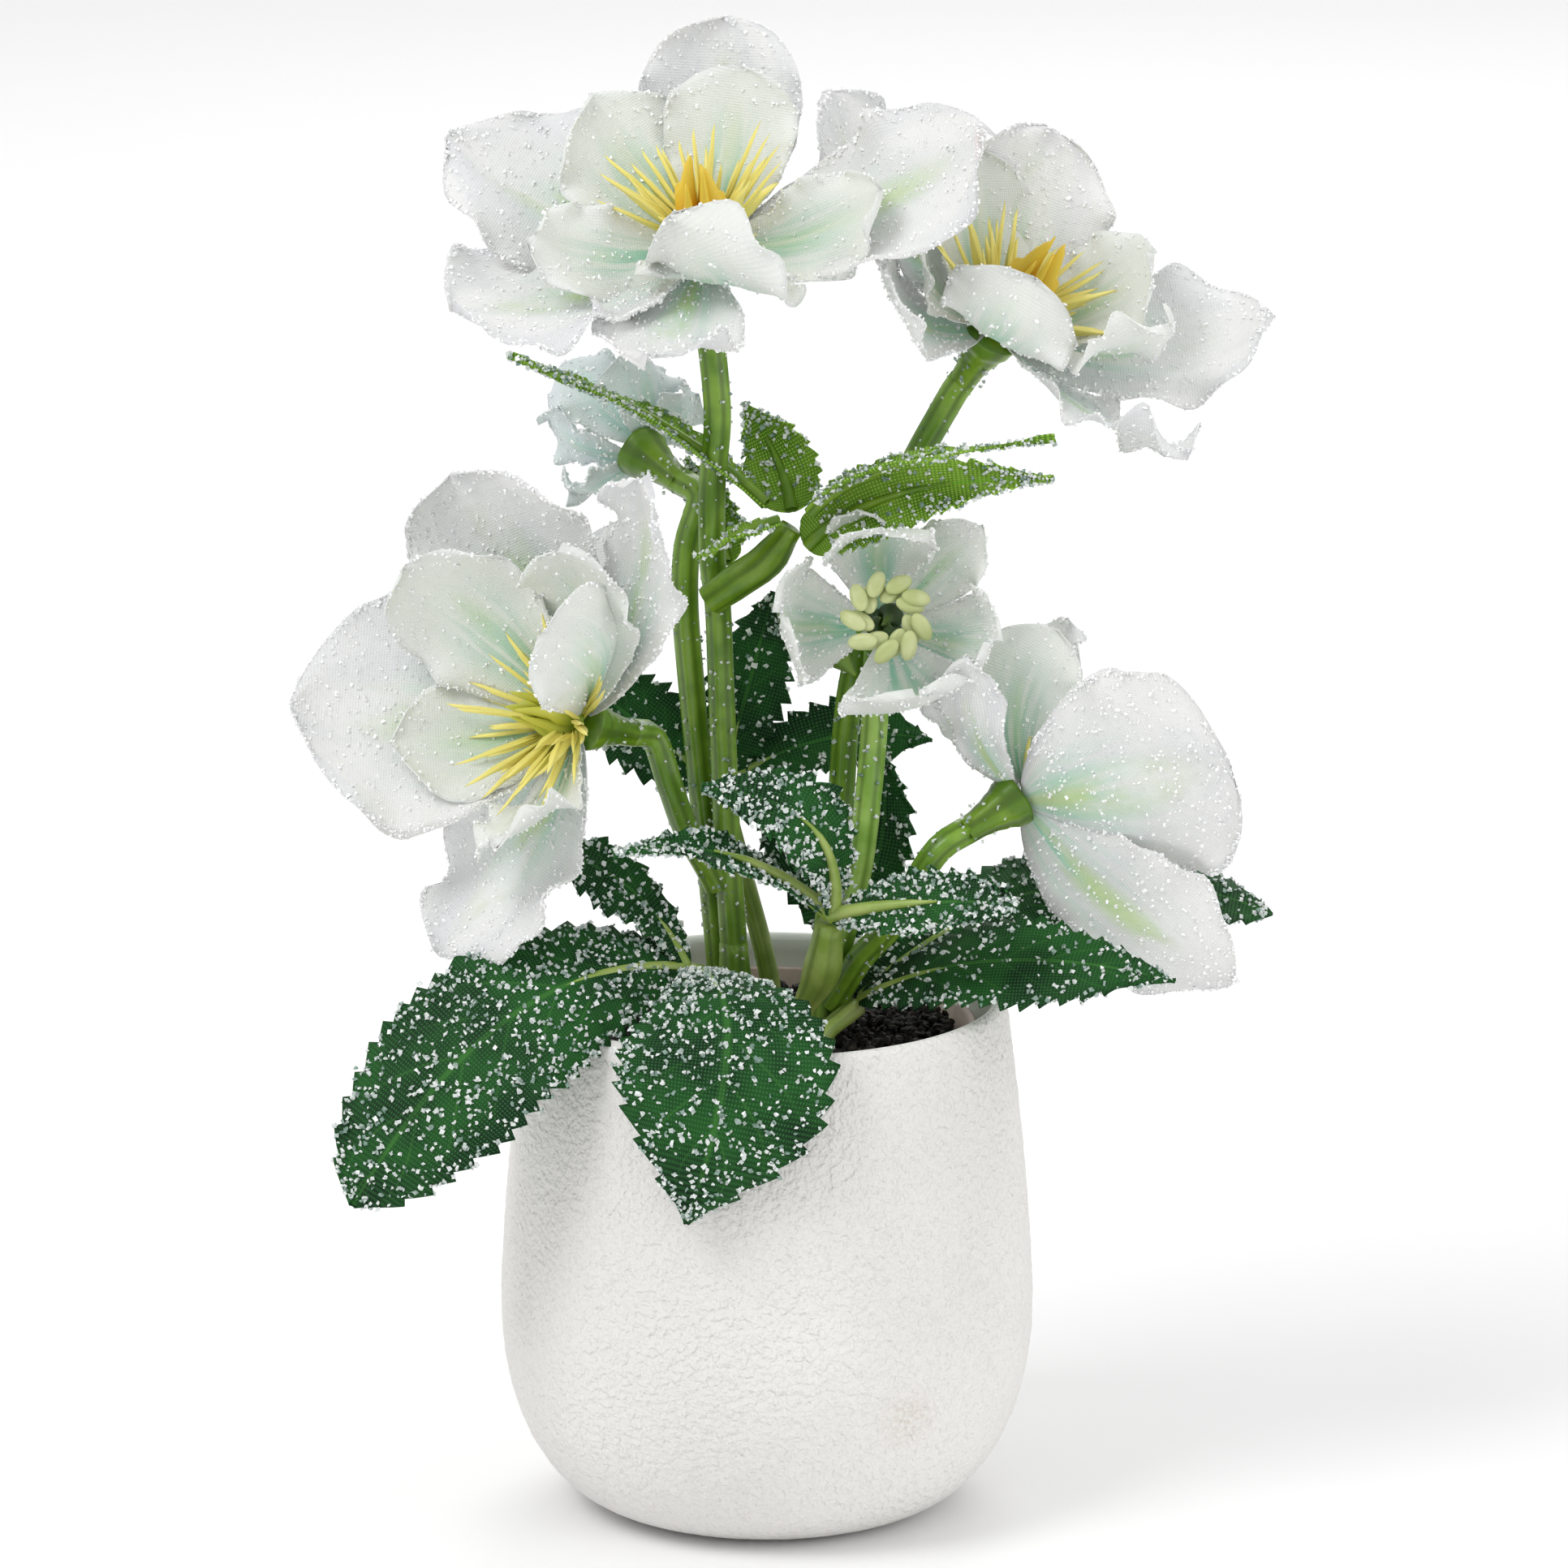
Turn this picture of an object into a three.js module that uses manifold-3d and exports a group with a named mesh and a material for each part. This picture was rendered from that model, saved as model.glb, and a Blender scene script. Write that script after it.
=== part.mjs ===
// An artificial christmas rose (hellebore) in a small white pot.
//
// Cloth flowers and leaves on moulded plastic stems stand in a ballasted inner pot, inside
// a rough white outer pot. Millimetres, +Z up. The origin is the middle of the pot's flat
// base, and the side that shows the flowers best faces -Y.

import * as THREE from 'three';
import { mergeVertices } from 'three/addons/utils/BufferGeometryUtils.js';
import Module from 'manifold-3d';

const wasm = await Module();
wasm.setup();

// ---------------------------------------------------------------- driving dimensions

const GAP = 0.3;                 // clear space kept between neighbouring pieces

const POT = {
  height: 79,
  rimRadius: 36,
  bellyRadius: 40.3,
  bellyHeight: 31.5,
  baseRadius: 20.5,
  wall: 3.2,
  floor: 4,
};
const INNER_POT = { bottom: 4.4, top: 74.6, bottomRadius: 22, topRadius: 31.6, wall: 1.4 };
const FILLER = { bottom: 6.2, top: 67, clearance: 0.4 };
const SOIL = { top: 72.6, clearance: 0.4, grains: 0.7 };

const STEM_RADIUS = 1.95;
const SOCKET_RADIUS = 2.7;
const STEM_FOOT = 60;            // height at which the stems are planted in the filler

const CLOTH = 0.8;               // thickness of a cloth petal or leaf with its coating
const RECEPTACLE = { length: 9, neck: 2.05, mouth: 3.9 };
const WHORL_STEP = 1.7;          // height of one ring of petals above the one below it

const COLOUR = {
  pot: 0xe9e6e1,
  innerPot: 0xb9a595,
  filler: 0xcfccc4,
  soil: 0x17120e,
  stem: 0x5d7d22,
  paleStem: 0x84a63a,
  receptacle: 0x587a1c,
  petal: 0xe6ebe6,
  innerPetal: 0xe3ece0,
  bud: 0xdce9e4,
  stamen: 0xcdb62c,
  pistil: 0xd68a12,
  greenPistil: 0x7f9a1e,
  anther: 0xc9cf8e,
  leaf: 0x1e4a2e,
  frostedLeaf: 0x4d6a55,
  bract: 0x5f8a2b,
  rib: 0x86a344,
};

// ---------------------------------------------------------------- small helpers

const vec = ([x, y, z]) => new THREE.Vector3(x, y, z);
const UP = new THREE.Vector3(0, 0, 1);

// A closed geometry as a solid, with its faces turned outwards.
function solidOf(geometry) {
  const bare = geometry.index ? geometry.toNonIndexed() : geometry.clone();
  for (const name of Object.keys(bare.attributes)) {
    if (name !== 'position') bare.deleteAttribute(name);
  }
  const merged = mergeVertices(bare, 1e-4);
  const points = merged.attributes.position.array;
  const corners = merged.index.array;
  const kept = [];
  let volume = 0;
  for (let i = 0; i < corners.length; i += 3) {
    const [a, b, c] = [corners[i], corners[i + 1], corners[i + 2]];
    if (a === b || b === c || c === a) continue;
    kept.push(a, b, c);
    const [p, q, r] = [a, b, c].map((k) => vec(points.subarray(3 * k, 3 * k + 3)));
    volume += p.dot(q.cross(r));
  }
  if (volume < 0) kept.reverse();
  return new wasm.Manifold(new wasm.Mesh({
    numProp: 3,
    vertProperties: Float32Array.from(points),
    triVerts: Uint32Array.from(kept),
  }));
}

const joined = (solids) => solids.reduce((whole, piece) => whole.add(piece));

// The biggest connected body of a solid, as a geometry: cutting may leave slivers loose.
function mainBody(solid) {
  const mesh = solid.getMesh();
  const owner = Array.from({ length: mesh.vertProperties.length / mesh.numProp }, (_, i) => i);
  const root = (i) => {
    while (owner[i] !== i) i = owner[i] = owner[owner[i]];
    return i;
  };
  for (let i = 0; i < (mesh.mergeFromVert ?? []).length; i += 1) {
    owner[root(mesh.mergeFromVert[i])] = root(mesh.mergeToVert[i]);
  }
  const tris = mesh.triVerts;
  for (let i = 0; i < tris.length; i += 3) {
    owner[root(tris[i])] = root(tris[i + 1]);
    owner[root(tris[i + 1])] = root(tris[i + 2]);
  }
  const point = (k) => vec(mesh.vertProperties.subarray(mesh.numProp * k, mesh.numProp * k + 3));
  const bodies = new Map();
  for (let i = 0; i < tris.length; i += 3) {
    const key = root(tris[i]);
    const body = bodies.get(key) ?? { volume: 0, corners: [] };
    const [p, q, r] = [point(tris[i]), point(tris[i + 1]), point(tris[i + 2])];
    body.corners.push(...p.toArray(), ...q.toArray(), ...r.toArray());
    body.volume += p.dot(q.cross(r)) / 6;
    bodies.set(key, body);
  }
  const best = [...bodies.values()].sort((a, b) => b.volume - a.volume)[0];
  const geometry = new THREE.BufferGeometry();
  geometry.setAttribute('position', new THREE.Float32BufferAttribute(best.corners, 3));
  const whole = mergeVertices(geometry, 1e-5);
  whole.computeVertexNormals();
  return { geometry: whole, share: best.volume / solid.volume() };
}

// ---------------------------------------------------------------- shapes

// A profile of [radius, height] points turned about an axis that starts at a point.
function turned(profile, sides, at = new THREE.Vector3(), axis = UP) {
  const geometry = new THREE.LatheGeometry(profile.map(([r, h]) => new THREE.Vector2(r, h)), sides);
  const turn = new THREE.Quaternion().setFromUnitVectors(new THREE.Vector3(0, 1, 0), axis);
  return geometry.applyQuaternion(turn).translate(at.x, at.y, at.z);
}

// A round rod of one radius along a smooth curve through the given points.
function rod(points, radius, sides = 7, pitch = 8) {
  const curve = new THREE.CatmullRomCurve3(points.map((p) => (p.isVector3 ? p : vec(p))));
  const section = new THREE.Shape();
  for (let i = 0; i < sides; i += 1) {
    const angle = (2 * Math.PI * i) / sides;
    const [x, y] = [radius * Math.cos(angle), radius * Math.sin(angle)];
    if (i === 0) section.moveTo(x, y);
    else section.lineTo(x, y);
  }
  const steps = Math.max(2, Math.round(curve.getLength() / pitch));
  return new THREE.ExtrudeGeometry(section, { steps, bevelEnabled: false, extrudePath: curve });
}

// A slender spike from one point to another, blunt at its far end.
function spike(from, to, radius, sides = 3) {
  const along = to.clone().sub(from);
  const length = along.length();
  return turned([[0, 0], [radius, 0], [radius * 0.5, length], [0, length]], sides, from, along.normalize());
}

// How the width of a cloth blade changes from its base (0) to its tip (1), at most 1.
const OUTLINE = {
  petal: (u) => ((u ** 0.62) * ((1 - u ** 3.4) ** 0.55)) / 0.67,
  leaflet: (u) => ((u ** 0.6) * (1 - u ** 2.3) ** 0.95) / 0.53,
  pointed: (u) => ((u ** 0.62) * ((1 - u ** 2.8) ** 0.8)) / 0.6,
  spade: (u) => ((u ** 0.95) * (1 - u ** 3)) / 0.483,
  broad: (u) => ((u ** 0.5) * ((1 - u ** 3.2) ** 0.6)) / 0.67,
  bract: (u) => ((u ** 0.5) * ((1 - u ** 1.3) ** 1.1)) / 0.415,
};

// A cloth blade: a curved sheet along a midrib that runs base, middle, tip.
// bow lifts the middle of the midrib towards the facing side, and cup lifts the edges.
// roll turns the blade about its midrib.
function blade({
  base, tip, facing = UP, width, bow = 0, via = null, cup = 0.15, roll = 0,
  outline = 'petal', along = 4, across = 2, grow = 0,
}) {
  const chord = tip.clone().sub(base);
  const side0 = facing.clone().cross(chord).normalize();
  const lift0 = chord.clone().cross(side0).normalize();
  const middle = via ?? base.clone().add(tip).multiplyScalar(0.5).addScaledVector(lift0, bow);
  const bend = middle.clone().multiplyScalar(2).sub(base.clone().add(tip).multiplyScalar(0.5));
  const midrib = new THREE.QuadraticBezierCurve3(base, bend, tip);
  const thick = CLOTH / 2 + grow;

  const rows = [];
  for (let i = 0; i <= along; i += 1) {
    const u = i / along;
    const centre = midrib.getPoint(u);
    const tangent = midrib.getTangent(u);
    const side = side0.clone().addScaledVector(tangent, -side0.dot(tangent)).normalize();
    side.applyAxisAngle(tangent, THREE.MathUtils.degToRad(roll));
    const lift = tangent.clone().cross(side);
    const half = Math.max(0.7, (width / 2) * OUTLINE[outline](u)) + grow;
    if (i === 0) centre.addScaledVector(tangent, -grow);
    if (i === along) centre.addScaledVector(tangent, grow);
    const row = [];
    for (let j = 0; j <= across; j += 1) {
      const v = (2 * j) / across - 1;
      row.push({
        point: centre.clone()
          .addScaledVector(side, half * v * (1 - 0.4 * cup * cup * v * v))
          .addScaledVector(lift, half * cup * v * v),
        lift: lift.clone().addScaledVector(side, -2 * cup * v).normalize(),
      });
    }
    rows.push(row);
  }

  const corners = [];
  const face = (...p) => p.forEach((q) => corners.push(q.x, q.y, q.z));
  const top = rows.map((row) => row.map((n) => n.point.clone().addScaledVector(n.lift, thick)));
  const low = rows.map((row) => row.map((n) => n.point.clone().addScaledVector(n.lift, -thick)));
  const quad = (a, b, c, d) => {
    face(a, b, c);
    face(a, c, d);
  };
  for (let i = 0; i < along; i += 1) {
    for (let j = 0; j < across; j += 1) {
      quad(top[i][j], top[i + 1][j], top[i + 1][j + 1], top[i][j + 1]);
      quad(low[i][j], low[i][j + 1], low[i + 1][j + 1], low[i + 1][j]);
    }
    quad(low[i][0], low[i + 1][0], top[i + 1][0], top[i][0]);
    quad(top[i][across], top[i + 1][across], low[i + 1][across], low[i][across]);
  }
  for (let j = 0; j < across; j += 1) {
    quad(top[0][j], top[0][j + 1], low[0][j + 1], low[0][j]);
    quad(top[along][j], low[along][j], low[along][j + 1], top[along][j + 1]);
  }
  const geometry = new THREE.BufferGeometry();
  geometry.setAttribute('position', new THREE.Float32BufferAttribute(corners, 3));
  return geometry;
}

// ---------------------------------------------------------------- the assembly

const plant = new THREE.Group();
const placed = [];

// Adds a piece, cut back by a small gap wherever an earlier piece already stands.
// make(grow) gives the solid with its walls moved out by grow.
function place(name, colour, roughness, make) {
  let solid = make(0);
  const whole = solid.volume();
  const box = solid.boundingBox();
  for (const other of placed) {
    const near = [0, 1, 2].every((k) => box.min[k] < other.box.max[k] && box.max[k] > other.box.min[k]);
    if (near) solid = solid.subtract(other.guard);
  }
  const { geometry, share } = mainBody(solid);
  const left = (solid.volume() * share) / whole;
  if (left < 0.93) console.error(`${name}: ${Math.round(100 * left)}% left, main body ${share.toFixed(2)}`);
  const guard = make(GAP);
  placed.push({ guard, box: guard.boundingBox() });
  const material = new THREE.MeshStandardMaterial({ color: colour, roughness, metalness: 0 });
  const mesh = new THREE.Mesh(geometry, material);
  mesh.name = name;
  plant.add(mesh);
}

// ---------------------------------------------------------------- pots, filler and soil

// Outer radius of the pot at a height: a rounded bowl below the belly, a taper above it.
function potRadius(height) {
  const { bellyHeight, bellyRadius, baseRadius, rimRadius } = POT;
  if (height >= bellyHeight) {
    const t = (height - bellyHeight) / (POT.height - bellyHeight);
    return bellyRadius - (bellyRadius - rimRadius) * t ** 1.5;
  }
  const drop = 1 - height / bellyHeight;
  const reach = Math.sqrt(Math.max(0, 1 - drop ** 2.12));
  return baseRadius + (bellyRadius - baseRadius) * reach ** (2 / 2.12);
}

function pot() {
  const outside = [];
  for (const share of [0, 0.04, 0.15, 0.34, 0.62, 1]) {
    const height = POT.bellyHeight * share;
    outside.push([potRadius(height), height]);
  }
  for (const share of [0.5, 0.98]) {
    const height = POT.bellyHeight + (POT.height - POT.bellyHeight) * share;
    outside.push([potRadius(height), height]);
  }
  const rimMiddle = POT.rimRadius - POT.wall / 2;
  const inside = outside.slice(1).reverse()
    .filter(([, height]) => height > POT.floor)
    .map(([radius, height]) => [radius - POT.wall, height]);
  const profile = [[0, 0], ...outside, [rimMiddle, POT.height], ...inside, [20, POT.floor], [0, POT.floor]];
  return solidOf(turned(profile, 32));
}

function innerPot() {
  const { bottom, top, bottomRadius, topRadius, wall } = INNER_POT;
  return solidOf(turned([
    [0, bottom], [bottomRadius, bottom], [topRadius, top], [topRadius - wall, top],
    [bottomRadius - wall, bottom + wall], [0, bottom + wall],
  ], 24));
}

// Radius inside the inner pot at a height, less a clearance.
function innerRoom(height, clearance) {
  const { bottom, top, bottomRadius, topRadius, wall } = INNER_POT;
  const share = (height - bottom) / (top - bottom);
  return bottomRadius + (topRadius - bottomRadius) * share - wall - clearance;
}

function filler() {
  const { bottom, top, clearance } = FILLER;
  return solidOf(turned([
    [0, bottom], [innerRoom(bottom, clearance), bottom], [innerRoom(top, clearance), top], [0, top],
  ], 20));
}

function soil() {
  const low = FILLER.top + GAP;
  const crumb = (angle, r) => SOIL.grains * Math.sin(angle * 5 + r) * Math.sin(r * 0.9);
  const geometry = turned([
    [0, low], [innerRoom(low, SOIL.clearance), low], [innerRoom(SOIL.top, SOIL.clearance), SOIL.top - 1],
    [16, SOIL.top], [0, SOIL.top],
  ], 18);
  const points = geometry.attributes.position;
  for (let i = 0; i < points.count; i += 1) {
    const [x, y, z] = [points.getX(i), points.getY(i), points.getZ(i)];
    const r = Math.hypot(x, y);
    if (z > SOIL.top - 0.5 && r > 1) points.setZ(i, z + crumb(Math.atan2(y, x), r));
  }
  return solidOf(geometry);
}

// ---------------------------------------------------------------- flowers

// One petal: where its tip lies from the flower's heart, and its form.
const petal = (tip, width, bow, more = {}) => ({ tip, width, bow, ...more });

const FLOWERS = {
  top_left: {
    heart: [-9, -5, 192.6],
    axis: [-0.05, -0.5, 0.85],
    outer: [
      petal([3, 18, 33], 25, -4),
      petal([-38, 9, 17], 26, -3, { roll: -20, outline: 'pointed' }),
      petal([-37, -15, -5], 29, -2, { roll: 10 }),
      petal([-8, -26, -9], 22, -3),
      petal([41, -7, 20], 24, -4, { roll: 15 }),
    ],
    inner: [
      petal([-17, 8, 23], 24, -3, { outline: 'pointed' }),
      petal([5, 10, 27], 20, -3),
      petal([26, -9, 12], 15, -4, { roll: 35 }),
      petal([-5, -18, 10], 26, -8, { via: [2, -14, -1], cup: 0.1, outline: 'pointed' }),
      petal([-25, -12, 6], 14, -3, { roll: -40 }),
    ],
    stamens: 'long',
    pistil: 'orange',
  },
  top_right: {
    heart: [33.4, 2, 179.4],
    axis: [0.45, -0.4, 0.8],
    outer: [
      petal([-25, 10, 35], 20, -3),
      petal([9, 12, 29], 26, -3),
      petal([42, 0, 3], 25, -4, { roll: 10, outline: 'pointed' }),
      petal([29, -17, -14], 13, -3, { roll: -25 }),
      petal([-16, -15, 14], 19, -5),
    ],
    inner: [
      petal([-2, 7, 27], 20, -2, { outline: 'pointed' }),
      petal([6, -15, 12], 21, -6, { cup: 0.15 }),
      petal([24, -2, 13], 20, -4),
      petal([26, -16, 5], 13, -4, { roll: -20 }),
      petal([-10, -5, 16], 14, -4),
    ],
    stamens: 'long',
    pistil: 'orange',
  },
  left: {
    heart: [-26.8, -10, 123.1],
    axis: [-0.7, -0.6, 0.3],
    outer: [
      petal([-20, 5, 37], 35, -3),
      petal([-44, 4, 2], 38, -4, { roll: 10, outline: 'pointed' }),
      petal([-22, -6, -34], 29, -3, { outline: 'pointed' }),
      petal([8, -17, 41], 18, -5, { roll: 10 }),
      petal([4, 12, 28], 20, -3),
    ],
    inner: [
      petal([-27, 0, 24], 24, -3),
      petal([-4, -12, 29], 18, -4, { roll: 25 }),
      petal([-6, -22, 19], 20, -5, { roll: -50 }),
      petal([-29, 0, -3], 19, -3, { outline: 'pointed' }),
      petal([-14, -19, -13], 18, -4, { roll: 10 }),
    ],
    stamens: 'long',
    pistil: 'green',
  },
  right: {
    heart: [37, -8, 111.1],
    axis: [0.8, 0.35, 0.45],
    outer: [
      petal([31, -15, 10], 38, -3),
      petal([33, -8, -26], 24, -3, { roll: -38, outline: 'pointed' }),
      petal([-7, -11, 24], 10, -3, { roll: 40 }),
      petal([8, 16, 24], 18, -3, { roll: 45 }),
      petal([14, 24, -10], 18, -3),
      petal([-12, -3, 20], 9, -2, { roll: 30 }),
    ],
    inner: [
      petal([6, 5, 25], 16, -3, { roll: 50 }),
      petal([8, 20, 6], 14, -3),
      petal([22, 8, -11], 13, -3),
    ],
    stamens: 'long',
    pistil: 'green',
  },
  small: {
    heart: [17.3, -5, 136.7],
    axis: [0.07, -0.92, 0.38],
    outer: [
      petal([-4, -5, 19], 10, -4),
      petal([14, -2, 16], 11, -3),
      petal([16, -13, 1], 17, -6, { cup: 0.3 }),
      petal([5, -19, -6], 22, -6, { cup: 0.3 }),
      petal([-15, -13, 5], 19, -6, { cup: 0.3 }),
      petal([0, -12, 17], 17, -6, { cup: 0.3 }),
    ],
    neck: 5,
    stamens: 'short',
    pistil: 'short',
  },
  bud: {
    heart: [-19, 20, 158],
    axis: [-0.66, 0.66, 0.37],
    outer: [
      petal([-11, 5, -7], 12, -2),
      petal([-14, 8, 3], 12, -2),
      petal([-12, 7, 12], 13, -2),
      petal([-1, 3, 15], 15, -2),
      petal([8, 5, 8], 12, -2),
      petal([-4, 14, 6], 13, -2),
    ],
  },
};

for (const flower of Object.values(FLOWERS)) {
  flower.heart = vec(flower.heart);
  flower.axis = vec(flower.axis).normalize();
  flower.neck ??= RECEPTACLE.length;
}

const above = (flower, height) => flower.heart.clone().addScaledVector(flower.axis, height);

// A unit vector square to the flower's axis, at an angle round it.
function spoke(flower, angle) {
  const first = new THREE.Vector3(1, 0, 0).cross(flower.axis).normalize();
  return first.applyAxisAngle(flower.axis, angle);
}

function receptacle(flower, grow) {
  const { neck, mouth } = RECEPTACLE;
  const low = -flower.neck;
  return solidOf(turned([
    [0, low - grow], [neck + grow, low - grow], [neck + 0.3 + grow, low * 0.55],
    [mouth + grow, -0.9], [mouth + grow, -0.3 + grow], [0, -0.3 + grow],
  ], 8, flower.heart, flower.axis));
}

function whorl(flower, petals, level, grow) {
  const root = above(flower, 0.6 + level * WHORL_STEP);
  const button = solidOf(turned([
    [0, -0.6 - grow], [3 + grow, -0.6 - grow], [3 + grow, 0.6 + grow], [0, 0.6 + grow],
  ], 8, root, flower.axis));
  return joined([button, ...petals.map((form) => {
    const reach = vec(form.tip);
    const out = reach.clone().addScaledVector(flower.axis, -reach.dot(flower.axis)).normalize();
    return solidOf(blade({
      ...form,
      base: root.clone().addScaledVector(out, 1.6),
      tip: flower.heart.clone().add(reach),
      via: form.via && flower.heart.clone().add(vec(form.via)),
      facing: flower.axis,
      grow,
    }));
  })]);
}

// Filaments that lean out of a low ring, as one moulding.
function longStamens(flower, grow) {
  const foot = above(flower, 0.6 + 2 * WHORL_STEP);
  const ring = solidOf(turned([
    [1.7 - grow, -0.6 - grow], [3.2 + grow, -0.6 - grow], [3.2 + grow, 1.2 + grow],
    [1.7 - grow, 1.2 + grow], [1.7 - grow, -0.6 - grow],
  ], 8, foot, flower.axis));
  const count = 12;
  const spikes = [];
  for (let i = 0; i < count; i += 1) {
    const out = spoke(flower, (2 * Math.PI * (i + 0.5)) / count);
    const lean = i % 2 ? 1.35 : 0.8;
    const along = flower.axis.clone().addScaledVector(out, lean).normalize();
    const from = foot.clone().addScaledVector(out, 2.3);
    const to = from.clone().addScaledVector(along, i % 2 ? 13 : 12);
    spikes.push(solidOf(spike(from, to, 0.75 + grow)));
  }
  return joined([ring, ...spikes]);
}

// A ring of fat pollen sacs that lean in over the middle of a half-open flower.
function shortStamens(flower, grow) {
  const foot = above(flower, 8);
  const count = 9;
  const radius = 4.6;
  const sacs = [];
  for (let i = 0; i < count; i += 1) {
    const out = spoke(flower, (2 * Math.PI * i) / count);
    const sac = new THREE.OctahedronGeometry(2.2 + grow, 0);
    const at = foot.clone().addScaledVector(out, radius);
    sacs.push(solidOf(sac.translate(at.x, at.y, at.z)));
  }
  const cone = solidOf(turned([
    [2.4 - grow, -5.5 - grow], [3.9 + grow, -5.5 - grow], [5.4 + grow, grow], [3.9 - grow, grow],
    [2.4 - grow, -5.5 - grow],
  ], 9, foot, flower.axis));
  return joined([cone, ...sacs]);
}

// The seed pod in the middle, with its slender styles.
function pistil(flower, grow) {
  const short = flower.pistil === 'short';
  const foot = above(flower, 0.6 + 2 * WHORL_STEP - 0.6);
  const size = short ? 0.8 : 1;
  const pod = solidOf(turned([
    [0, -grow], [1.3 + grow, -grow], [1.3 + grow, 2], [2.9 * size + grow, 4.4 * size],
    [1.4 + grow, 8.5 * size + grow], [0, 9 * size + grow],
  ], 6, foot, flower.axis));
  if (short) return pod;
  const styles = [0, 1, 2].map((i) => {
    const out = spoke(flower, (2 * Math.PI * i) / 3 + 0.4);
    const from = foot.clone().addScaledVector(flower.axis, 6).addScaledVector(out, 0.8);
    const to = from.clone().addScaledVector(flower.axis, 10.5).addScaledVector(out, 2.6);
    return solidOf(spike(from, to, 0.8 + grow));
  });
  return joined([pod, ...styles]);
}

// ---------------------------------------------------------------- stems

// The last stretch of a stem runs straight into its flower's receptacle.
function stemInto(flower, points) {
  const end = -flower.neck - GAP - 0.1;
  return [...points, above(flower, end - flower.neck / 2), above(flower, end)];
}

const STEMS = {
  stem_top_left: stemInto(FLOWERS.top_left, [
    [-4.9, 2, 86.4], [-5.7, 2, 99], [-6.3, 2, 114], [-6.8, 2, 128], [-7.2, 2, 138.5],
    [-8, 1, 146], [-8, 0.5, 157], [-7.2, 0.5, 168],
  ]),
  stem_bud: stemInto(FLOWERS.bud, [
    [-6.6, 6, STEM_FOOT], [-6.8, 6, 78], [-8.2, 5.6, 95], [-9.6, 5.5, 108], [-11, 6, 123],
    [-12.1, 6.5, 137], [-11.8, 8, 146],
  ]),
  stem_top_right: stemInto(FLOWERS.top_right, [
    [8, 1.5, 81.4], [9.4, 3, 90], [11.1, 4, 106], [11.9, 5, 118], [13.1, 6, 127],
    [16.5, 7, 140.5], [20.3, 7.5, 155],
  ]),
  stem_small: stemInto(FLOWERS.small, [
    [8.4, -4, STEM_FOOT], [8.6, -4.2, 78], [11.6, -4.8, 90], [14, -5, 100], [15.3, -4.5, 111],
    [16.2, -1, 121],
  ]),
  branch_left: stemInto(FLOWERS.left, [
    [-8.6, 1.2, 98], [-12.1, -1, 105], [-14.5, -3, 112.5],
  ]),
  branch_right: stemInto(FLOWERS.right, [
    [11.6, -6, 82], [14.5, -7.5, 87], [18.5, -10, 92], [21.5, -12, 98],
  ]),
};

const SOCKETS = {
  socket_left: [[-4.2, 2, STEM_FOOT], [-4.5, 2, 74], [-4.9, 2, 86]],
  socket_right: [[6.6, 1, STEM_FOOT], [7, 1, 73], [8, 1.5, 81]],
};

// ---------------------------------------------------------------- leaves and bracts

// Palmate leaves: leaflets of one cloth cutting that meet at a hub, on a moulded stalk.
const leaflet = (via, tip, width, more = {}) => ({ via, tip, width, ...more });

const LEAVES = {
  leaf_front: {
    hub: [-11.7, -13, 86.5],
    stalk: [[-3, -6, STEM_FOOT + 4], [-5, -7, 77], [-8.5, -9.5, 83.5]],
    leaflets: [
      leaflet([-26, -13, -4], [-49.5, -21, -31], 28, { roll: -42, cup: -0.12, outline: 'broad' }),
      leaflet([6, -24.5, -4], [0, -30, -31], 33, { cup: -0.06, outline: 'spade' }),
      leaflet([-11, 3, 13], [-27, 4, 17], 13, { roll: -30, cup: -0.1 }),
    ],
  },
  leaf_centre: {
    hub: [9.4, -15, 94.7],
    stalk: [[2.5, -9, STEM_FOOT + 4], [4, -9.5, 76], [8, -12, 85]],
    leaflets: [
      leaflet([-3, -4, 15], [-19, -8, 22], 15, { facing: [0.3, -0.8, 0.5] }),
      leaflet([-15, -6, 11], [-32, -12, 13], 9, { facing: [0, -0.4, 0.9] }),
      leaflet([14, -7, 4], [28, -12, 5], 13, { facing: [0, -0.7, 0.7] }),
    ],
  },
  leaf_back: {
    hub: [-7, 14, 107.6],
    stalk: [[1, 9, STEM_FOOT + 4], [0.5, 10, 78], [-3.5, 12, 94]],
    leaflets: [
      leaflet([-11, 2, 8], [-21, 3, 16], 17, { facing: [0, -0.8, 0.6] }),
      leaflet([4, 3, 14], [8, 5, 29], 14, { facing: [0, -1, 0.2] }),
      leaflet([16, 1, 7], [32, 0, 7], 13, { facing: [0, -0.8, 0.6] }),
    ],
  },
  leaf_right: {
    hub: [13.5, -6, 79.5],
    stalk: [[5, -14, STEM_FOOT + 4], [7, -13, 74]],
    leaflets: [
      leaflet([21, -11, 9], [47, -19, 8], 18, { facing: [0, -0.6, 0.8], cup: -0.08 }),
      leaflet([30, 13, 14], [63, 16, 9], 19, { facing: [0, -0.5, 0.8], cup: -0.08, outline: 'broad' }),
    ],
  },
  leaf_tall: {
    hub: [10, 10, 83],
    stalk: [[9, 9, STEM_FOOT + 4], [9.4, 9.4, 74]],
    leaflets: [
      leaflet([-4, 4, 14], [-12, 8, 20], 14, { facing: [0, -1, 0.3] }),
      leaflet([7, 5, 14], [7, 9, 29], 11, { facing: [0, -1, 0.3] }),
    ],
  },
};

const BRACT_HUB = [[-8.5, -3.4, 140.5], [-4, -4.5, 144], [0, -5, 147], [3.6, -5.5, 152]];

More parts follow.
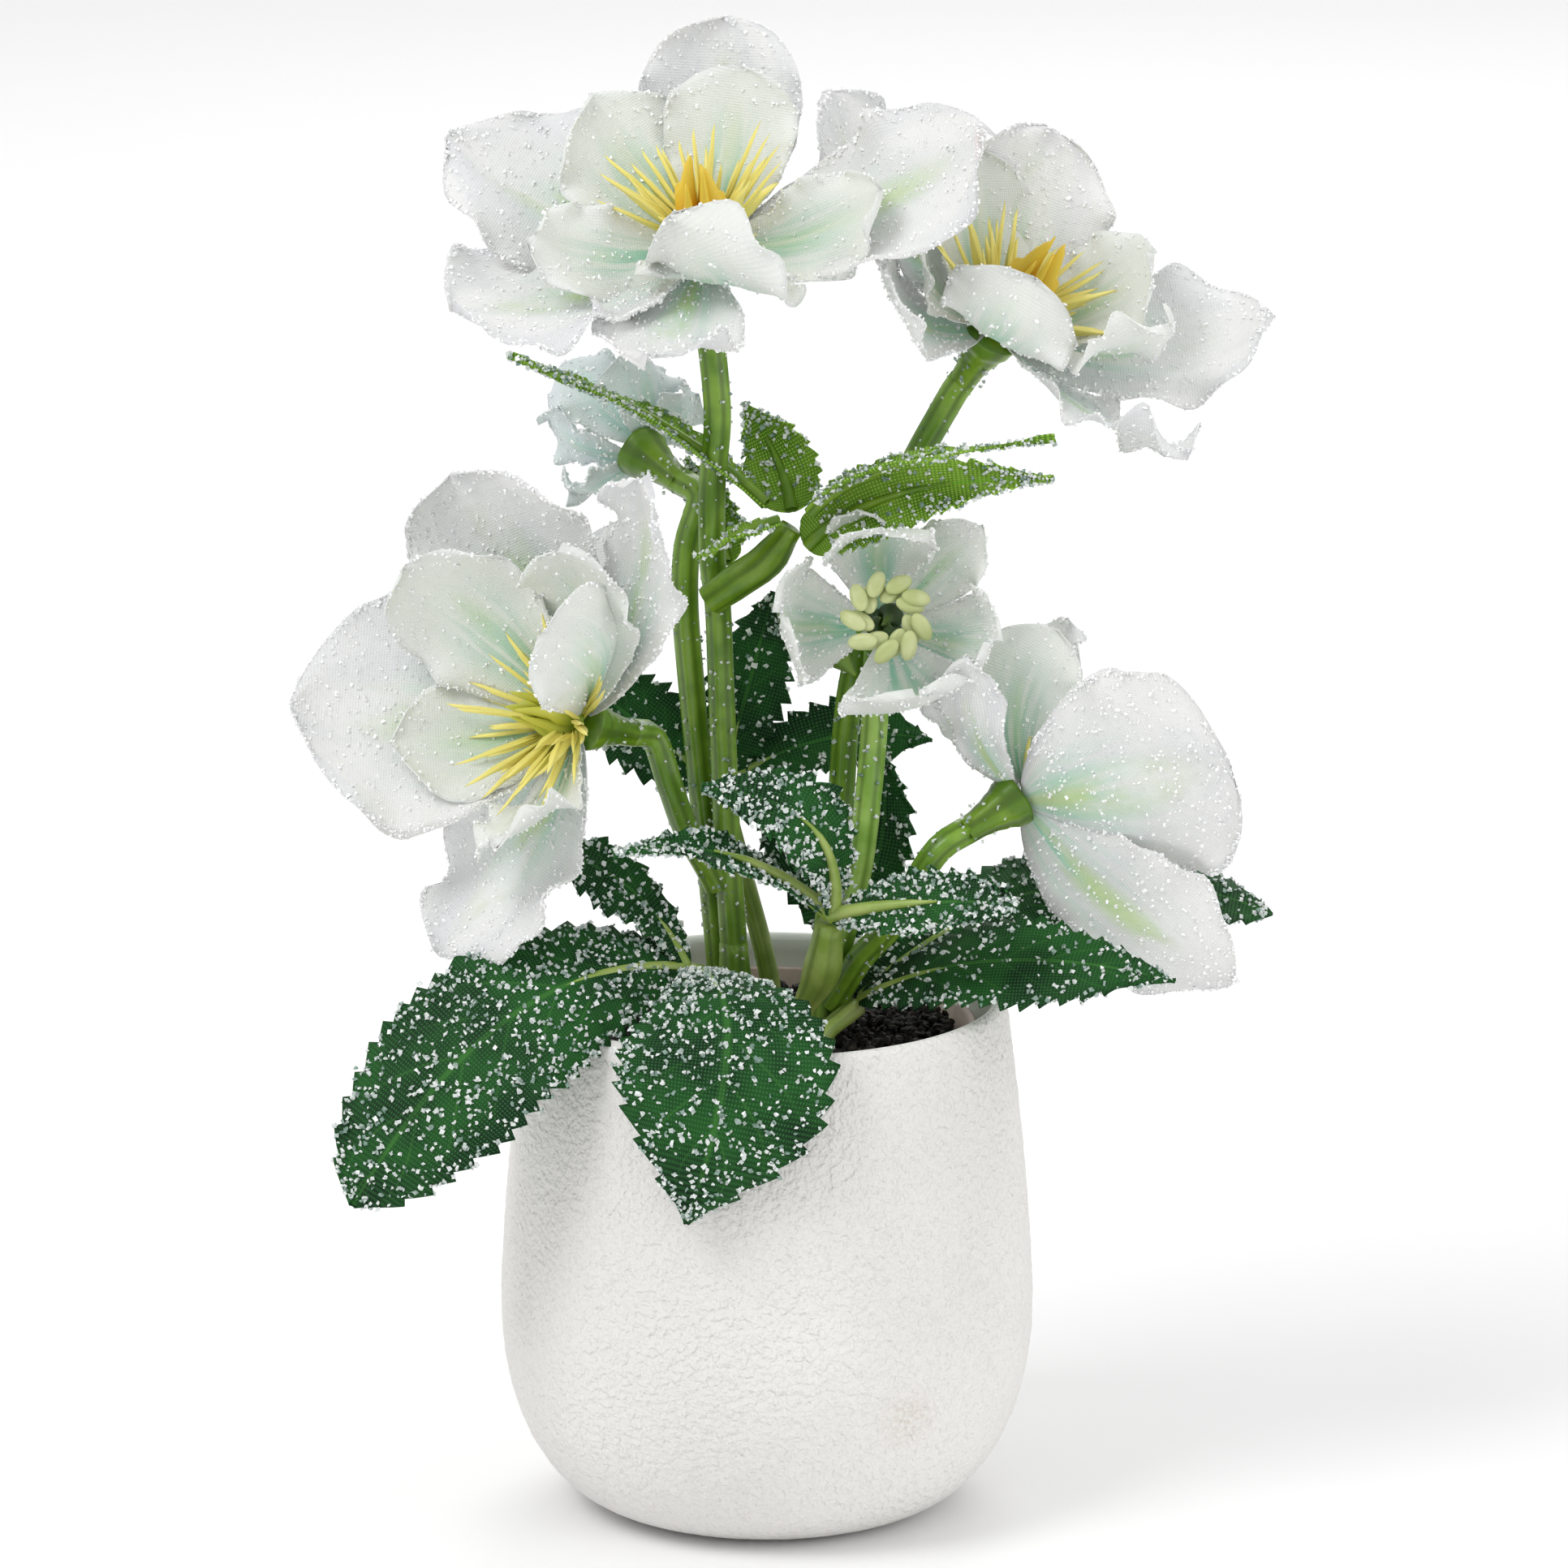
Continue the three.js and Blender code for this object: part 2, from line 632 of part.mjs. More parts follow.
const BRACTS = {
  bract_left_long: { base: [0, -3, 154.5], via: [-17.5, 4, 166.5], tip: [-38.5, 6, 175.5], width: 9 },
  bract_up: { base: [3.8, 1, 153], via: [1.5, 6, 160], tip: [-3.5, 11, 167.5], width: 12 },
  bract_right_upper: { base: [6, -9, 155], via: [18, -11, 162.5], tip: [42.5, -16, 167.5], width: 7 },
  bract_right_lower: { base: [6, -6, 149], via: [20, -7, 157.5], tip: [42.5, -6, 159.5], width: 12 },
  bract_small: { base: [2, -9, 153.5], via: [-4, -11, 152], tip: [-10.5, -13, 149], width: 7 },
  bract_back: { base: [-6, 9, 143], via: [-8.5, 14, 150], tip: [-12, 16, 158], width: 9 },
};
const BRACT_FACING = { bract_up: [0, -1, 0.2], bract_right_lower: [0, -0.9, 0.4], bract_back: [0, -1, 0.1] };

const WEDGE = { base: [2.5, -3.5, 141], tip: [13.2, -1.5, 128.5], width: 7 };

function palmate(leaf, grow) {
  const hub = vec(leaf.hub);
  const patch = solidOf(turned([
    [0, -0.4 - grow], [1.6 + grow, -0.4 - grow], [1.6 + grow, 0.4 + grow], [0, 0.4 + grow],
  ], 8, hub));
  return joined([patch, ...leaf.leaflets.map((form) => solidOf(blade({
    outline: 'leaflet',
    ...form,
    base: hub,
    via: hub.clone().add(vec(form.via)),
    tip: hub.clone().add(vec(form.tip)),
    facing: form.facing ? vec(form.facing).normalize() : UP,
    along: 6,
    grow,
  })))]);
}

function stalk(leaf, grow) {
  const top = vec(leaf.hub).addScaledVector(UP, -1.2);
  return solidOf(rod([...leaf.stalk, top], 1.5 + grow, 6, 7));
}

// ---------------------------------------------------------------- building it

place('pot', COLOUR.pot, 0.85, pot);
place('inner_pot', COLOUR.innerPot, 0.6, innerPot);

const rods = { ...SOCKETS, ...STEMS };
for (const [name, points] of Object.entries(rods)) {
  const radius = name.startsWith('socket') ? SOCKET_RADIUS : STEM_RADIUS;
  const colour = name === 'stem_small' ? COLOUR.paleStem : COLOUR.stem;
  place(name, colour, 0.45, (grow) => solidOf(rod(points, radius + grow)));
}
for (const [name, leaf] of Object.entries(LEAVES)) {
  place(name.replace('leaf', 'stalk'), COLOUR.rib, 0.45, (grow) => stalk(leaf, grow));
}
place('filler', COLOUR.filler, 0.9, filler);
place('soil', COLOUR.soil, 0.95, soil);

for (const [name, flower] of Object.entries(FLOWERS)) {
  place(`${name}_receptacle`, COLOUR.receptacle, 0.45, (grow) => receptacle(flower, grow));
  if (flower.pistil) {
    const colour = flower.pistil === 'orange' ? COLOUR.pistil : COLOUR.greenPistil;
    place(`${name}_pistil`, colour, 0.5, (grow) => pistil(flower, grow));
  }
  if (flower.stamens === 'long') {
    place(`${name}_stamens`, COLOUR.stamen, 0.5, (grow) => longStamens(flower, grow));
  }
  if (flower.stamens === 'short') {
    place(`${name}_stamens`, COLOUR.anther, 0.5, (grow) => shortStamens(flower, grow));
  }
}
for (const [name, flower] of Object.entries(FLOWERS)) {
  if (flower.inner) {
    place(`${name}_inner_petals`, COLOUR.innerPetal, 0.8, (grow) => whorl(flower, flower.inner, 1, grow));
  }
  const colour = name === 'bud' ? COLOUR.bud : COLOUR.petal;
  place(`${name}_outer_petals`, colour, 0.8, (grow) => whorl(flower, flower.outer, 0, grow));
}

place('bract_hub', COLOUR.bract, 0.45, (grow) => solidOf(rod(BRACT_HUB, 2.2 + grow, 7)));
place('wedge_small', COLOUR.bract, 0.5, (grow) => solidOf(blade({
  base: vec(WEDGE.base),
  tip: vec(WEDGE.tip),
  width: WEDGE.width,
  facing: new THREE.Vector3(0, -1, 0),
  outline: 'bract',
  grow,
})));
for (const [name, form] of Object.entries(BRACTS)) {
  place(name, COLOUR.bract, 0.75, (grow) => solidOf(blade({
    base: vec(form.base),
    via: vec(form.via),
    tip: vec(form.tip),
    width: form.width,
    facing: BRACT_FACING[name] ? vec(BRACT_FACING[name]).normalize() : UP,
    outline: 'bract',
    grow,
  })));
}
for (const [name, leaf] of Object.entries(LEAVES)) {
  const colour = name === 'leaf_centre' ? COLOUR.frostedLeaf : COLOUR.leaf;
  place(name, colour, 0.75, (grow) => palmate(leaf, grow));
}

export default plant;
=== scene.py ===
# %% [markdown]
# # A frosted christmas rose in a white pot
#
# The object is a small artificial hellebore. Its petals and leaves are cut from woven cloth,
# its stems, stamens and seed pods are moulded plastic, and clear grains are glued all over it
# like frost. It stands in a rough white pot with a round belly.
#
# This script builds its looks round a imported model that fixes every size and place. We load that model
# first.

import math
import random

import bmesh
import bpy
import numpy as np
from mathutils import Matrix, Quaternion, Vector, noise


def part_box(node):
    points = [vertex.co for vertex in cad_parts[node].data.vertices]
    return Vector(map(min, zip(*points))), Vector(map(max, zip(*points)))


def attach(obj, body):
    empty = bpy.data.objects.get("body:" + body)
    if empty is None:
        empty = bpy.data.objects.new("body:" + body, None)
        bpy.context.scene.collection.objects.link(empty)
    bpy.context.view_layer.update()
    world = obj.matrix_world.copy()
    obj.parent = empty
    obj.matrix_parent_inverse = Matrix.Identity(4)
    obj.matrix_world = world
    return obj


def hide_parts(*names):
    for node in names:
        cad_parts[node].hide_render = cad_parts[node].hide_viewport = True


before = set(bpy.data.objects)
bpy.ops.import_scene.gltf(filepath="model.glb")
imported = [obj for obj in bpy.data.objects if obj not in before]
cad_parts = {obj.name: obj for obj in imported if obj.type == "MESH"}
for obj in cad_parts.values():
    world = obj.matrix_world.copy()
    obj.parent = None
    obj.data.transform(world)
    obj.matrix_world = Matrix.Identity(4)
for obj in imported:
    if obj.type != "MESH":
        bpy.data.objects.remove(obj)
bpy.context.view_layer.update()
print("frame nodes:", len(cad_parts))

# %% [markdown]
# ## Units and small tools
#
# Blender works in metres, but the flower is easier to read in millimetres. `mm` turns a list of
# millimetres into a vector in metres. Every random choice comes from a generator with a fixed
# seed, so the plant grows the same way each time.

# %% Units and small tools
MM = 0.001
UP = Vector((0, 0, 1))


def mm(point):
    return Vector(point) * MM


def smooth(value, low, high):
    """0 below low, 1 above high, and an even curve between them."""
    t = min(1, max(0, (value - low) / (high - low)))
    return t * t * (3 - 2 * t)


def wander(*place):
    """Smooth noise from -1 to 1 at a place."""
    return noise.noise(Vector(place))


# %% [markdown]
# ## Camera
#
# The plant is seen from the front, a little from above, with a long lens from far away, so
# that the pot's rim shows as a slim ellipse and nothing looks stretched.

# %% Camera
AIM = mm((2.6, 0, 111.4))
ELEVATION = math.radians(14.2)
DISTANCE = 1.5
LENS = 229.75

camera = bpy.data.objects.new("camera", bpy.data.cameras.new("camera"))
bpy.context.scene.collection.objects.link(camera)
camera.location = AIM + DISTANCE * Vector((0, -math.cos(ELEVATION), math.sin(ELEVATION)))
camera.rotation_euler = (math.pi / 2 - ELEVATION, 0, 0)
camera.data.lens = LENS
camera.data.sensor_width = 36
bpy.context.scene.camera = camera
print("camera", tuple(round(x, 3) for x in camera.location))

# %% [markdown]
# ## Light
#
# White cloth needs soft light from all round, with one broad lamp from the upper left to
# model the folds, and a weaker one from the right so that the shade stays pale.


# %% Light
def softbox(name, place, size, power):
    lamp = bpy.data.objects.new(name, bpy.data.lights.new(name, "AREA"))
    lamp.data.shape = "DISK"
    lamp.data.size = size
    lamp.data.energy = power
    lamp.location = place
    lamp.rotation_euler = (AIM - lamp.location).to_track_quat("-Z", "Y").to_euler()
    bpy.context.scene.collection.objects.link(lamp)


softbox("key_light", Vector((-0.75, -0.6, 1.25)), 0.7, 8.5)
softbox("fill_light", Vector((1.1, -0.6, 0.6)), 0.8, 3.0)
softbox("rim_light", Vector((0.2, 1.1, 0.9)), 0.8, 4.0)

world = bpy.data.worlds.new("studio")
world.use_nodes = True
world.node_tree.nodes["Background"].inputs["Color"].default_value = (1, 1, 1, 1)
world.node_tree.nodes["Background"].inputs["Strength"].default_value = 0.76
bpy.context.scene.world = world
bpy.context.scene.view_settings.view_transform = "Standard"
print("lights and world ready")

# %% [markdown]
# ## Building materials from nodes
#
# Each finish is a small network on one Principled shader. Short helpers keep the networks
# readable: they make a node, mix two colours, turn a value into a soft mask, do a sum, make
# the material itself, read a noise, and join a bump or a colour to the shader. Constant values
# go straight onto the shader.


# %% Material helpers
def add_node(tree, kind, inputs=None, **settings):
    made = tree.nodes.new(kind)
    for key, value in settings.items():
        setattr(made, key, value)
    for socket, value in (inputs or {}).items():
        if isinstance(value, bpy.types.NodeSocket):
            tree.links.new(value, made.inputs[socket])
        else:
            made.inputs[socket].default_value = value
    return made


def mix_colour(tree, factor, first, second):
    made = tree.nodes.new("ShaderNodeMix")
    made.data_type = "RGBA"
    for socket, value in ((0, factor), (6, first), (7, second)):
        if isinstance(value, bpy.types.NodeSocket):
            tree.links.new(value, made.inputs[socket])
        else:
            made.inputs[socket].default_value = value if socket == 0 else (*value, 1)
    return made.outputs[2]


def mask(tree, value, low, high, to_low=0.0, to_high=1.0):
    made = add_node(
        tree,
        "ShaderNodeMapRange",
        {0: value, 1: low, 2: high, 3: to_low, 4: to_high},
        interpolation_type="SMOOTHSTEP",
    )
    return made.outputs[0]


def maths(tree, operation, first, second=0.0):
    return add_node(tree, "ShaderNodeMath", {0: first, 1: second}, operation=operation).outputs[0]


def new_material(name, **sockets):
    material = bpy.data.materials.new(name)
    material.use_nodes = True
    shader = material.node_tree.nodes["Principled BSDF"]
    for socket, value in sockets.items():
        shader.inputs[socket.replace("_", " ")].default_value = value
    return material, material.node_tree, shader


def grain_noise(tree, scale, detail=2.0, where=None):
    where = where or add_node(tree, "ShaderNodeTexCoord").outputs["Object"]
    made = add_node(tree, "ShaderNodeTexNoise", {"Vector": where, "Scale": scale, "Detail": detail})
    return made.outputs[0]


def bump(tree, shader, height, strength, distance):
    made = add_node(
        tree, "ShaderNodeBump", {"Height": height, "Strength": strength, "Distance": distance}
    )
    tree.links.new(made.outputs[0], shader.inputs["Normal"])


def paint(tree, shader, colour):
    tree.links.new(colour, shader.inputs["Base Color"])


# %% [markdown]
# ## Woven cloth
#
# Petals and leaves are a plain weave, a little over two threads to a millimetre on petals and
# just under two on leaves. Two sets of bands at right angles, read from the piece's own UV map
# in millimetres, give the threads. The point attribute `blade` says how far along a blade a
# point is (x), how far across (y) and which blade it is on (z), so that veins and stains
# follow the cloth.

# %% Woven cloth
THREAD_PITCH = 0.42
WAVE_LENGTH = 0.314  # of the wave texture at scale 1
THREAD = WAVE_LENGTH / THREAD_PITCH


def weave(tree, scale=THREAD):
    cloth = add_node(tree, "ShaderNodeUVMap", uv_map="weave").outputs[0]
    bands = [
        add_node(
            tree,
            "ShaderNodeTexWave",
            {"Vector": cloth, "Scale": scale, "Distortion": 0.4, "Detail": 1.0},
            bands_direction=direction,
        ).outputs["Fac"]
        for direction in ("X", "Y")
    ]
    return maths(tree, "MULTIPLY", bands[0], bands[1])


def blade_parts(tree):
    """Sockets for along, across (0 at the midrib, 1 at the edge), the blade's own number, and
    across with its sign, which on a rod says where its ridges are."""
    made = add_node(tree, "ShaderNodeAttribute", attribute_name="blade")
    parts = add_node(tree, "ShaderNodeSeparateXYZ", {0: made.outputs["Vector"]}).outputs
    across = maths(tree, "ABSOLUTE", parts[1])
    return parts[0], across, parts[2], parts[1]


def streaks(tree, along, signed, number, fine):
    """Noise drawn out along the blade, different on each blade."""
    stretch = add_node(
        tree,
        "ShaderNodeCombineXYZ",
        {0: maths(tree, "MULTIPLY", along, 1.3), 1: maths(tree, "MULTIPLY", signed, fine), 2: number},
    )
    return grain_noise(tree, 1.6, 3.0, stretch.outputs[0])


# %% [markdown]
# ## Petal cloth
#
# White cloth, airbrushed by hand: mint green near the heart, a lime streak down the midrib
# that is strongest on the outer petals, a cool grey cast here and there, and a few spots of
# blush. Inner petals are greener and have less grey.
# A little subsurface light lets the thin cloth glow.


# %% Petal cloth
def petal_cloth(name, ground, mint, mint_reach, lime_strength, cool):
    material, tree, shader = new_material(
        name,
        Roughness=0.62,
        Specular_IOR_Level=0.3,
        Subsurface_Weight=0.22,
        Subsurface_Radius=(1, 1, 0.9),
        Subsurface_Scale=0.0012,
        Sheen_Weight=0.15,
        Sheen_Roughness=0.4,
    )
    along, across, number, signed = blade_parts(tree)
    fine = streaks(tree, along, signed, number, 4.0)
    broad = streaks(tree, along, signed, maths(tree, "ADD", number, 7.3), 1.2)
    colour = mix_colour(tree, mask(tree, broad, 0.40, 0.62, 0, cool), ground, (0.66, 0.67, 0.72))
    near_heart = mask(tree, along, mint_reach, 0.02)
    stain = maths(tree, "MULTIPLY", near_heart, mask(tree, fine, 0.36, 0.58, 0.2))
    stain = maths(tree, "MULTIPLY", stain, mask(tree, across, 0.85, 0.05))
    colour = mix_colour(tree, stain, colour, mint)
    vein = maths(tree, "MULTIPLY", mask(tree, across, 0.34, 0.0), mask(tree, broad, 0.38, 0.58))
    vein = maths(tree, "MULTIPLY", vein, mask(tree, along, 1.0, 0.45, 0, lime_strength))
    colour = mix_colour(tree, vein, colour, (0.54, 0.72, 0.30))
    blush = mask(tree, grain_noise(tree, 26.0, 1.0), 0.70, 0.78, 0, 0.35)
    colour = mix_colour(tree, blush, colour, (0.86, 0.52, 0.42))
    threads = weave(tree)
    # Painted shade: the gaps between the threads are mixed towards grey, standing in for shade between the
    # threads.
    colour = mix_colour(tree, mask(tree, threads, 0.1, 0.7, 0.22, 0), colour, (0.42, 0.43, 0.45))
    paint(tree, shader, colour)
    crumple = grain_noise(tree, 420.0, 2.0)
    height = maths(tree, "ADD", maths(tree, "MULTIPLY", threads, 0.7), crumple)
    bump(tree, shader, height, 0.55, 0.00016)
    return material


OUTER_CLOTH = petal_cloth(
    "outer petal cloth", (0.87, 0.87, 0.85), (0.34, 0.72, 0.50), 0.82, 0.9, 0.45
)
INNER_CLOTH = petal_cloth(
    "inner petal cloth", (0.86, 0.89, 0.83), (0.16, 0.56, 0.36), 0.95, 0.4, 0.12
)
BUD_CLOTH = petal_cloth("bud cloth", (0.70, 0.79, 0.775), (0.36, 0.66, 0.56), 1.1, 0.2, 0.4)
print("petal cloths ready")

# %% [markdown]
# ## Leaf cloth
#
# The same weave, printed dark green, with a painted highlight on the raised threads, and lime veins: one
# midrib and slanting side veins. The bracts high on the stem are the same cloth in yellow green.


# %% Leaf cloth
def leaf_cloth(name, dark, light, vein_colour, vein_strength):
    material, tree, shader = new_material(name, Roughness=0.62, Specular_IOR_Level=0.2)
    along, across, _, _ = blade_parts(tree)
    patches = grain_noise(tree, 90.0, 3.0)
    colour = mix_colour(tree, mask(tree, patches, 0.35, 0.65), dark, light)
    threads = weave(tree, THREAD * 0.8)
    # Painted highlight: the raised threads are mixed towards a brighter green, standing in for light caught
    # on them.
    bright = tuple(min(1, 1.9 * x + 0.012) for x in light)
    colour = mix_colour(tree, mask(tree, threads, 0.2, 0.75, 0, 0.75), colour, bright)
    slant = maths(
        tree, "SUBTRACT", maths(tree, "MULTIPLY", along, 7.0), maths(tree, "MULTIPLY", across, 2.0)
    )
    saw = maths(tree, "ABSOLUTE", maths(tree, "SUBTRACT", maths(tree, "FRACT", slant), 0.5))
    side_veins = maths(tree, "MULTIPLY", mask(tree, saw, 0.06, 0.0), mask(tree, across, 0.9, 0.3, 0, 0.6))
    midrib = mask(tree, across, 0.055, 0.01)
    veins = maths(tree, "MAXIMUM", side_veins, midrib)
    veins = maths(tree, "MULTIPLY", veins, mask(tree, patches, 0.3, 0.6, 0.3 * vein_strength, vein_strength))
    colour = mix_colour(tree, veins, colour, vein_colour)
    paint(tree, shader, colour)
    bump(tree, shader, maths(tree, "ADD", threads, veins), 0.5, 0.00015)
    return material


LEAF_CLOTH = leaf_cloth(
    "leaf cloth", (0.002, 0.022, 0.006), (0.010, 0.078, 0.012), (0.05, 0.20, 0.03), 0.6
)
BRACT_CLOTH = leaf_cloth(
    "bract cloth", (0.085, 0.19, 0.012), (0.19, 0.34, 0.035), (0.10, 0.34, 0.01), 0.9
)
print("leaf cloths ready")

# %% [markdown]
# ## Moulded plastic, stucco, soil and frost
#
# Stems are green plastic with a slight mottle and a satin gloss. The pot is matt white with a
# leathery skin, cast into the surface as real relief and finished with a fine bump. Frost is
# crushed resin, glossy and pale: partly see-through on leaves and stems, and white on petals.


# %% Moulded plastic, stucco, soil and frost
def moulded(name, dark, light, roughness=0.38, gradient=None):
    material, tree, shader = new_material(name, Roughness=roughness, Subsurface_Weight=0.06)
    shader.inputs["Subsurface Scale"].default_value = 0.0008
    along, _, _, ridge = blade_parts(tree)
    mottle = mask(tree, grain_noise(tree, 150.0, 3.0), 0.35, 0.68)
    colour = mix_colour(tree, mottle, dark, light)
    # Painted shade: the grooves between the ridges are mixed towards a darker green, standing in for shade
    # in the recesses.
    groove_shade = mask(tree, ridge, 0.1, -0.9, 0, 0.6)
    colour = mix_colour(tree, groove_shade, colour, tuple(0.45 * x for x in dark))
    if gradient:
        colour = mix_colour(tree, mask(tree, along, 0.05, 0.75), colour, gradient)
    paint(tree, shader, colour)
    bump(tree, shader, grain_noise(tree, 1400.0, 2.0), 0.25, 0.00012)
    return material


STEM_PLASTIC = moulded("stem plastic", (0.11, 0.235, 0.012), (0.23, 0.40, 0.04), 0.3)
PALE_STEM_PLASTIC = moulded("pale stem plastic", (0.19, 0.37, 0.04), (0.36, 0.56, 0.12), 0.3)
RECEPTACLE_PLASTIC = moulded("receptacle plastic", (0.09, 0.20, 0.005), (0.19, 0.33, 0.018), 0.3)
STALK_PLASTIC = moulded("stalk plastic", (0.22, 0.34, 0.05), (0.38, 0.48, 0.13))
STAMEN_PLASTIC = moulded(
    "stamen plastic", (0.60, 0.57, 0.09), (0.72, 0.67, 0.14), 0.35, (0.86, 0.77, 0.22)
)
ORANGE_PLASTIC = moulded(
    "orange pistil plastic", (0.76, 0.25, 0.004), (0.84, 0.36, 0.008), 0.35, (0.84, 0.60, 0.06)
)
GREEN_PLASTIC = moulded(
    "green pistil plastic", (0.15, 0.28, 0.01), (0.30, 0.42, 0.02), 0.35, (0.58, 0.58, 0.08)
)
DARK_HEART_PLASTIC = moulded("dark heart plastic", (0.015, 0.045, 0.004), (0.05, 0.10, 0.01))
SAC_PLASTIC = moulded("pollen sac plastic", (0.44, 0.50, 0.20), (0.60, 0.64, 0.34), 0.4)
LINER_PLASTIC = moulded("inner pot plastic", (0.40, 0.31, 0.26), (0.50, 0.40, 0.34), 0.6)


SMUDGE = (21, -33.5, 22.5)


def stucco():
    material, tree, shader = new_material("white stucco", Roughness=0.86, Specular_IOR_Level=0.25)
    cloud = grain_noise(tree, 22.0, 3.0)
    colour = mix_colour(tree, mask(tree, cloud, 0.35, 0.7), (0.79, 0.775, 0.75), (0.84, 0.825, 0.80))
    smudge = add_node(
        tree,
        "ShaderNodeVectorMath",
        {0: add_node(tree, "ShaderNodeTexCoord").outputs["Object"], 1: mm(SMUDGE)},
        operation="DISTANCE",
    ).outputs["Value"]
    blot = mask(tree, smudge, 0.0065, 0.0005)
    specks = mask(tree, grain_noise(tree, 1500.0), 0.35, 0.65, 0, 0.32)
    stain = maths(tree, "MULTIPLY", blot, specks)
    colour = mix_colour(tree, stain, colour, (0.55, 0.40, 0.29))
    paint(tree, shader, colour)
    bump(tree, shader, grain_noise(tree, 950.0, 2.0), 0.95, 0.0009)
    return material


def plain_glaze():
    material, tree, shader = new_material("rim glaze", Roughness=0.55)
    colour = mix_colour(tree, grain_noise(tree, 60.0), (0.72, 0.76, 0.70), (0.80, 0.82, 0.77))
    paint(tree, shader, colour)
    bump(tree, shader, grain_noise(tree, 500.0), 0.15, 0.0001)
    return material


def dark_soil():
    material, tree, shader = new_material("dark soil", Roughness=0.8)
    clods = mask(tree, grain_noise(tree, 900.0), 0.4, 0.7)
    colour = mix_colour(tree, clods, (0.004, 0.003, 0.003), (0.032, 0.022, 0.015))
    paint(tree, shader, colour)
    bump(tree, shader, grain_noise(tree, 1500.0, 4.0), 0.8, 0.0004)
    return material


def clear_frost(name, dim, bright, clearness):
    material, tree, shader = new_material(
        name, Roughness=0.18, Transmission_Weight=clearness, IOR=1.5, Specular_IOR_Level=0.7
    )
    _, _, number, _ = blade_parts(tree)
    paint(tree, shader, mix_colour(tree, mask(tree, number, 0.0, 0.7), dim, bright))
    return material


STUCCO, GLAZE, SOIL_GRIT = stucco(), plain_glaze(), dark_soil()
LEAF_FROST = clear_frost("clear frost", (0.22, 0.34, 0.28), (0.86, 0.90, 0.88), 0.12)
PETAL_FROST = clear_frost("petal frost", (0.86, 0.87, 0.88), (1, 1, 1), 0.0)
print("materials:", len(bpy.data.materials))

# %% [markdown]
# ## Handing a finished piece over
#
# Every piece is a mesh in its final place, on an object that stays at the origin. It rides on the one body,
# takes a finish slot, and hides the plain solids of the frame it stands for.


# %% Finish a piece
def finish_piece(name, mesh, materials, nodes=(), smooth_faces=True, thickness=0.0):
    piece = bpy.data.objects.new(name, mesh)
    bpy.context.scene.collection.objects.link(piece)
    for material in materials:
        mesh.materials.append(material)
    mesh.polygons.foreach_set("use_smooth", [smooth_faces] * len(mesh.polygons))
    if thickness:
        cloth = piece.modifiers.new("cloth thickness", "SOLIDIFY")
        cloth.thickness = thickness
        cloth.offset = 0
    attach(piece, "root")
    if nodes:
        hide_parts(*nodes)
    print(f"{name}: {len(mesh.polygons)} faces")


def mesh_from(bm, name):
    mesh = bpy.data.meshes.new(name)
    bm.to_mesh(mesh)
    bm.free()
    return mesh


# %% [markdown]
# ## The pot
#
# The pot is turned: its profile is a bowl below the belly and a slow taper above it. We lay
# the profile as a chain of edges and spin it. The skin's relief is then pressed in by moving
# every outside point along its radius by two sizes of smooth noise. The inside and the thin
# lip stay smooth, and take the rim glaze.

# %% Pot profile
POT = {
    "height": 79, "rim": 36, "belly": 40.3, "belly_height": 31.5, "base": 20.5,
    "wall": 3.2, "floor": 4, "lip": 0.9, "lip_wall": 2.2, "ledge": 72,
}
BOWL_POWER = 2.12
SKIN = ((420, 0.08), (1000, 0.14))  # how close and how deep each size of relief is


def pot_radius(height):
    if height >= POT["belly_height"]:
        t = (height - POT["belly_height"]) / (POT["height"] - POT["belly_height"])
        return POT["belly"] - (POT["belly"] - POT["rim"]) * t**1.5
    drop = 1 - height / POT["belly_height"]
    reach = max(0, 1 - drop**BOWL_POWER) ** (1 / BOWL_POWER)
    return POT["base"] + (POT["belly"] - POT["base"]) * reach


def pot_profile():
    """Points of the half section from the middle of the base, over the lip, to the inner floor."""
    chain = [(r, 0) for r in (0, 8, 15, 19)]
    bowl = 56
    for i in range(bowl):
        angle = math.pi / 2 * i / bowl
        height = POT["belly_height"] * (1 - math.cos(angle))
        chain.append((pot_radius(height), height))
    side = 84
    for i in range(side + 1):
        height = POT["belly_height"] + (POT["height"] - POT["lip"] - POT["belly_height"]) * i / side
        chain.append((pot_radius(height), height))
    lip = POT["lip"]
    for angle in (30, 60, 90, 120, 150):
        turn = math.radians(angle)
        chain.append((POT["rim"] - lip * (1 - math.cos(turn)), POT["height"] - lip * (1 - math.sin(turn))))
    for height in (78, 76, 72.5, 71.5, 60, 45, 31, 18, 9):
        wall = POT["wall"] if height < POT["ledge"] else POT["lip_wall"]
        chain.append((pot_radius(height) - wall, height))
    chain += [(18, POT["floor"]), (0, POT["floor"])]
    return chain


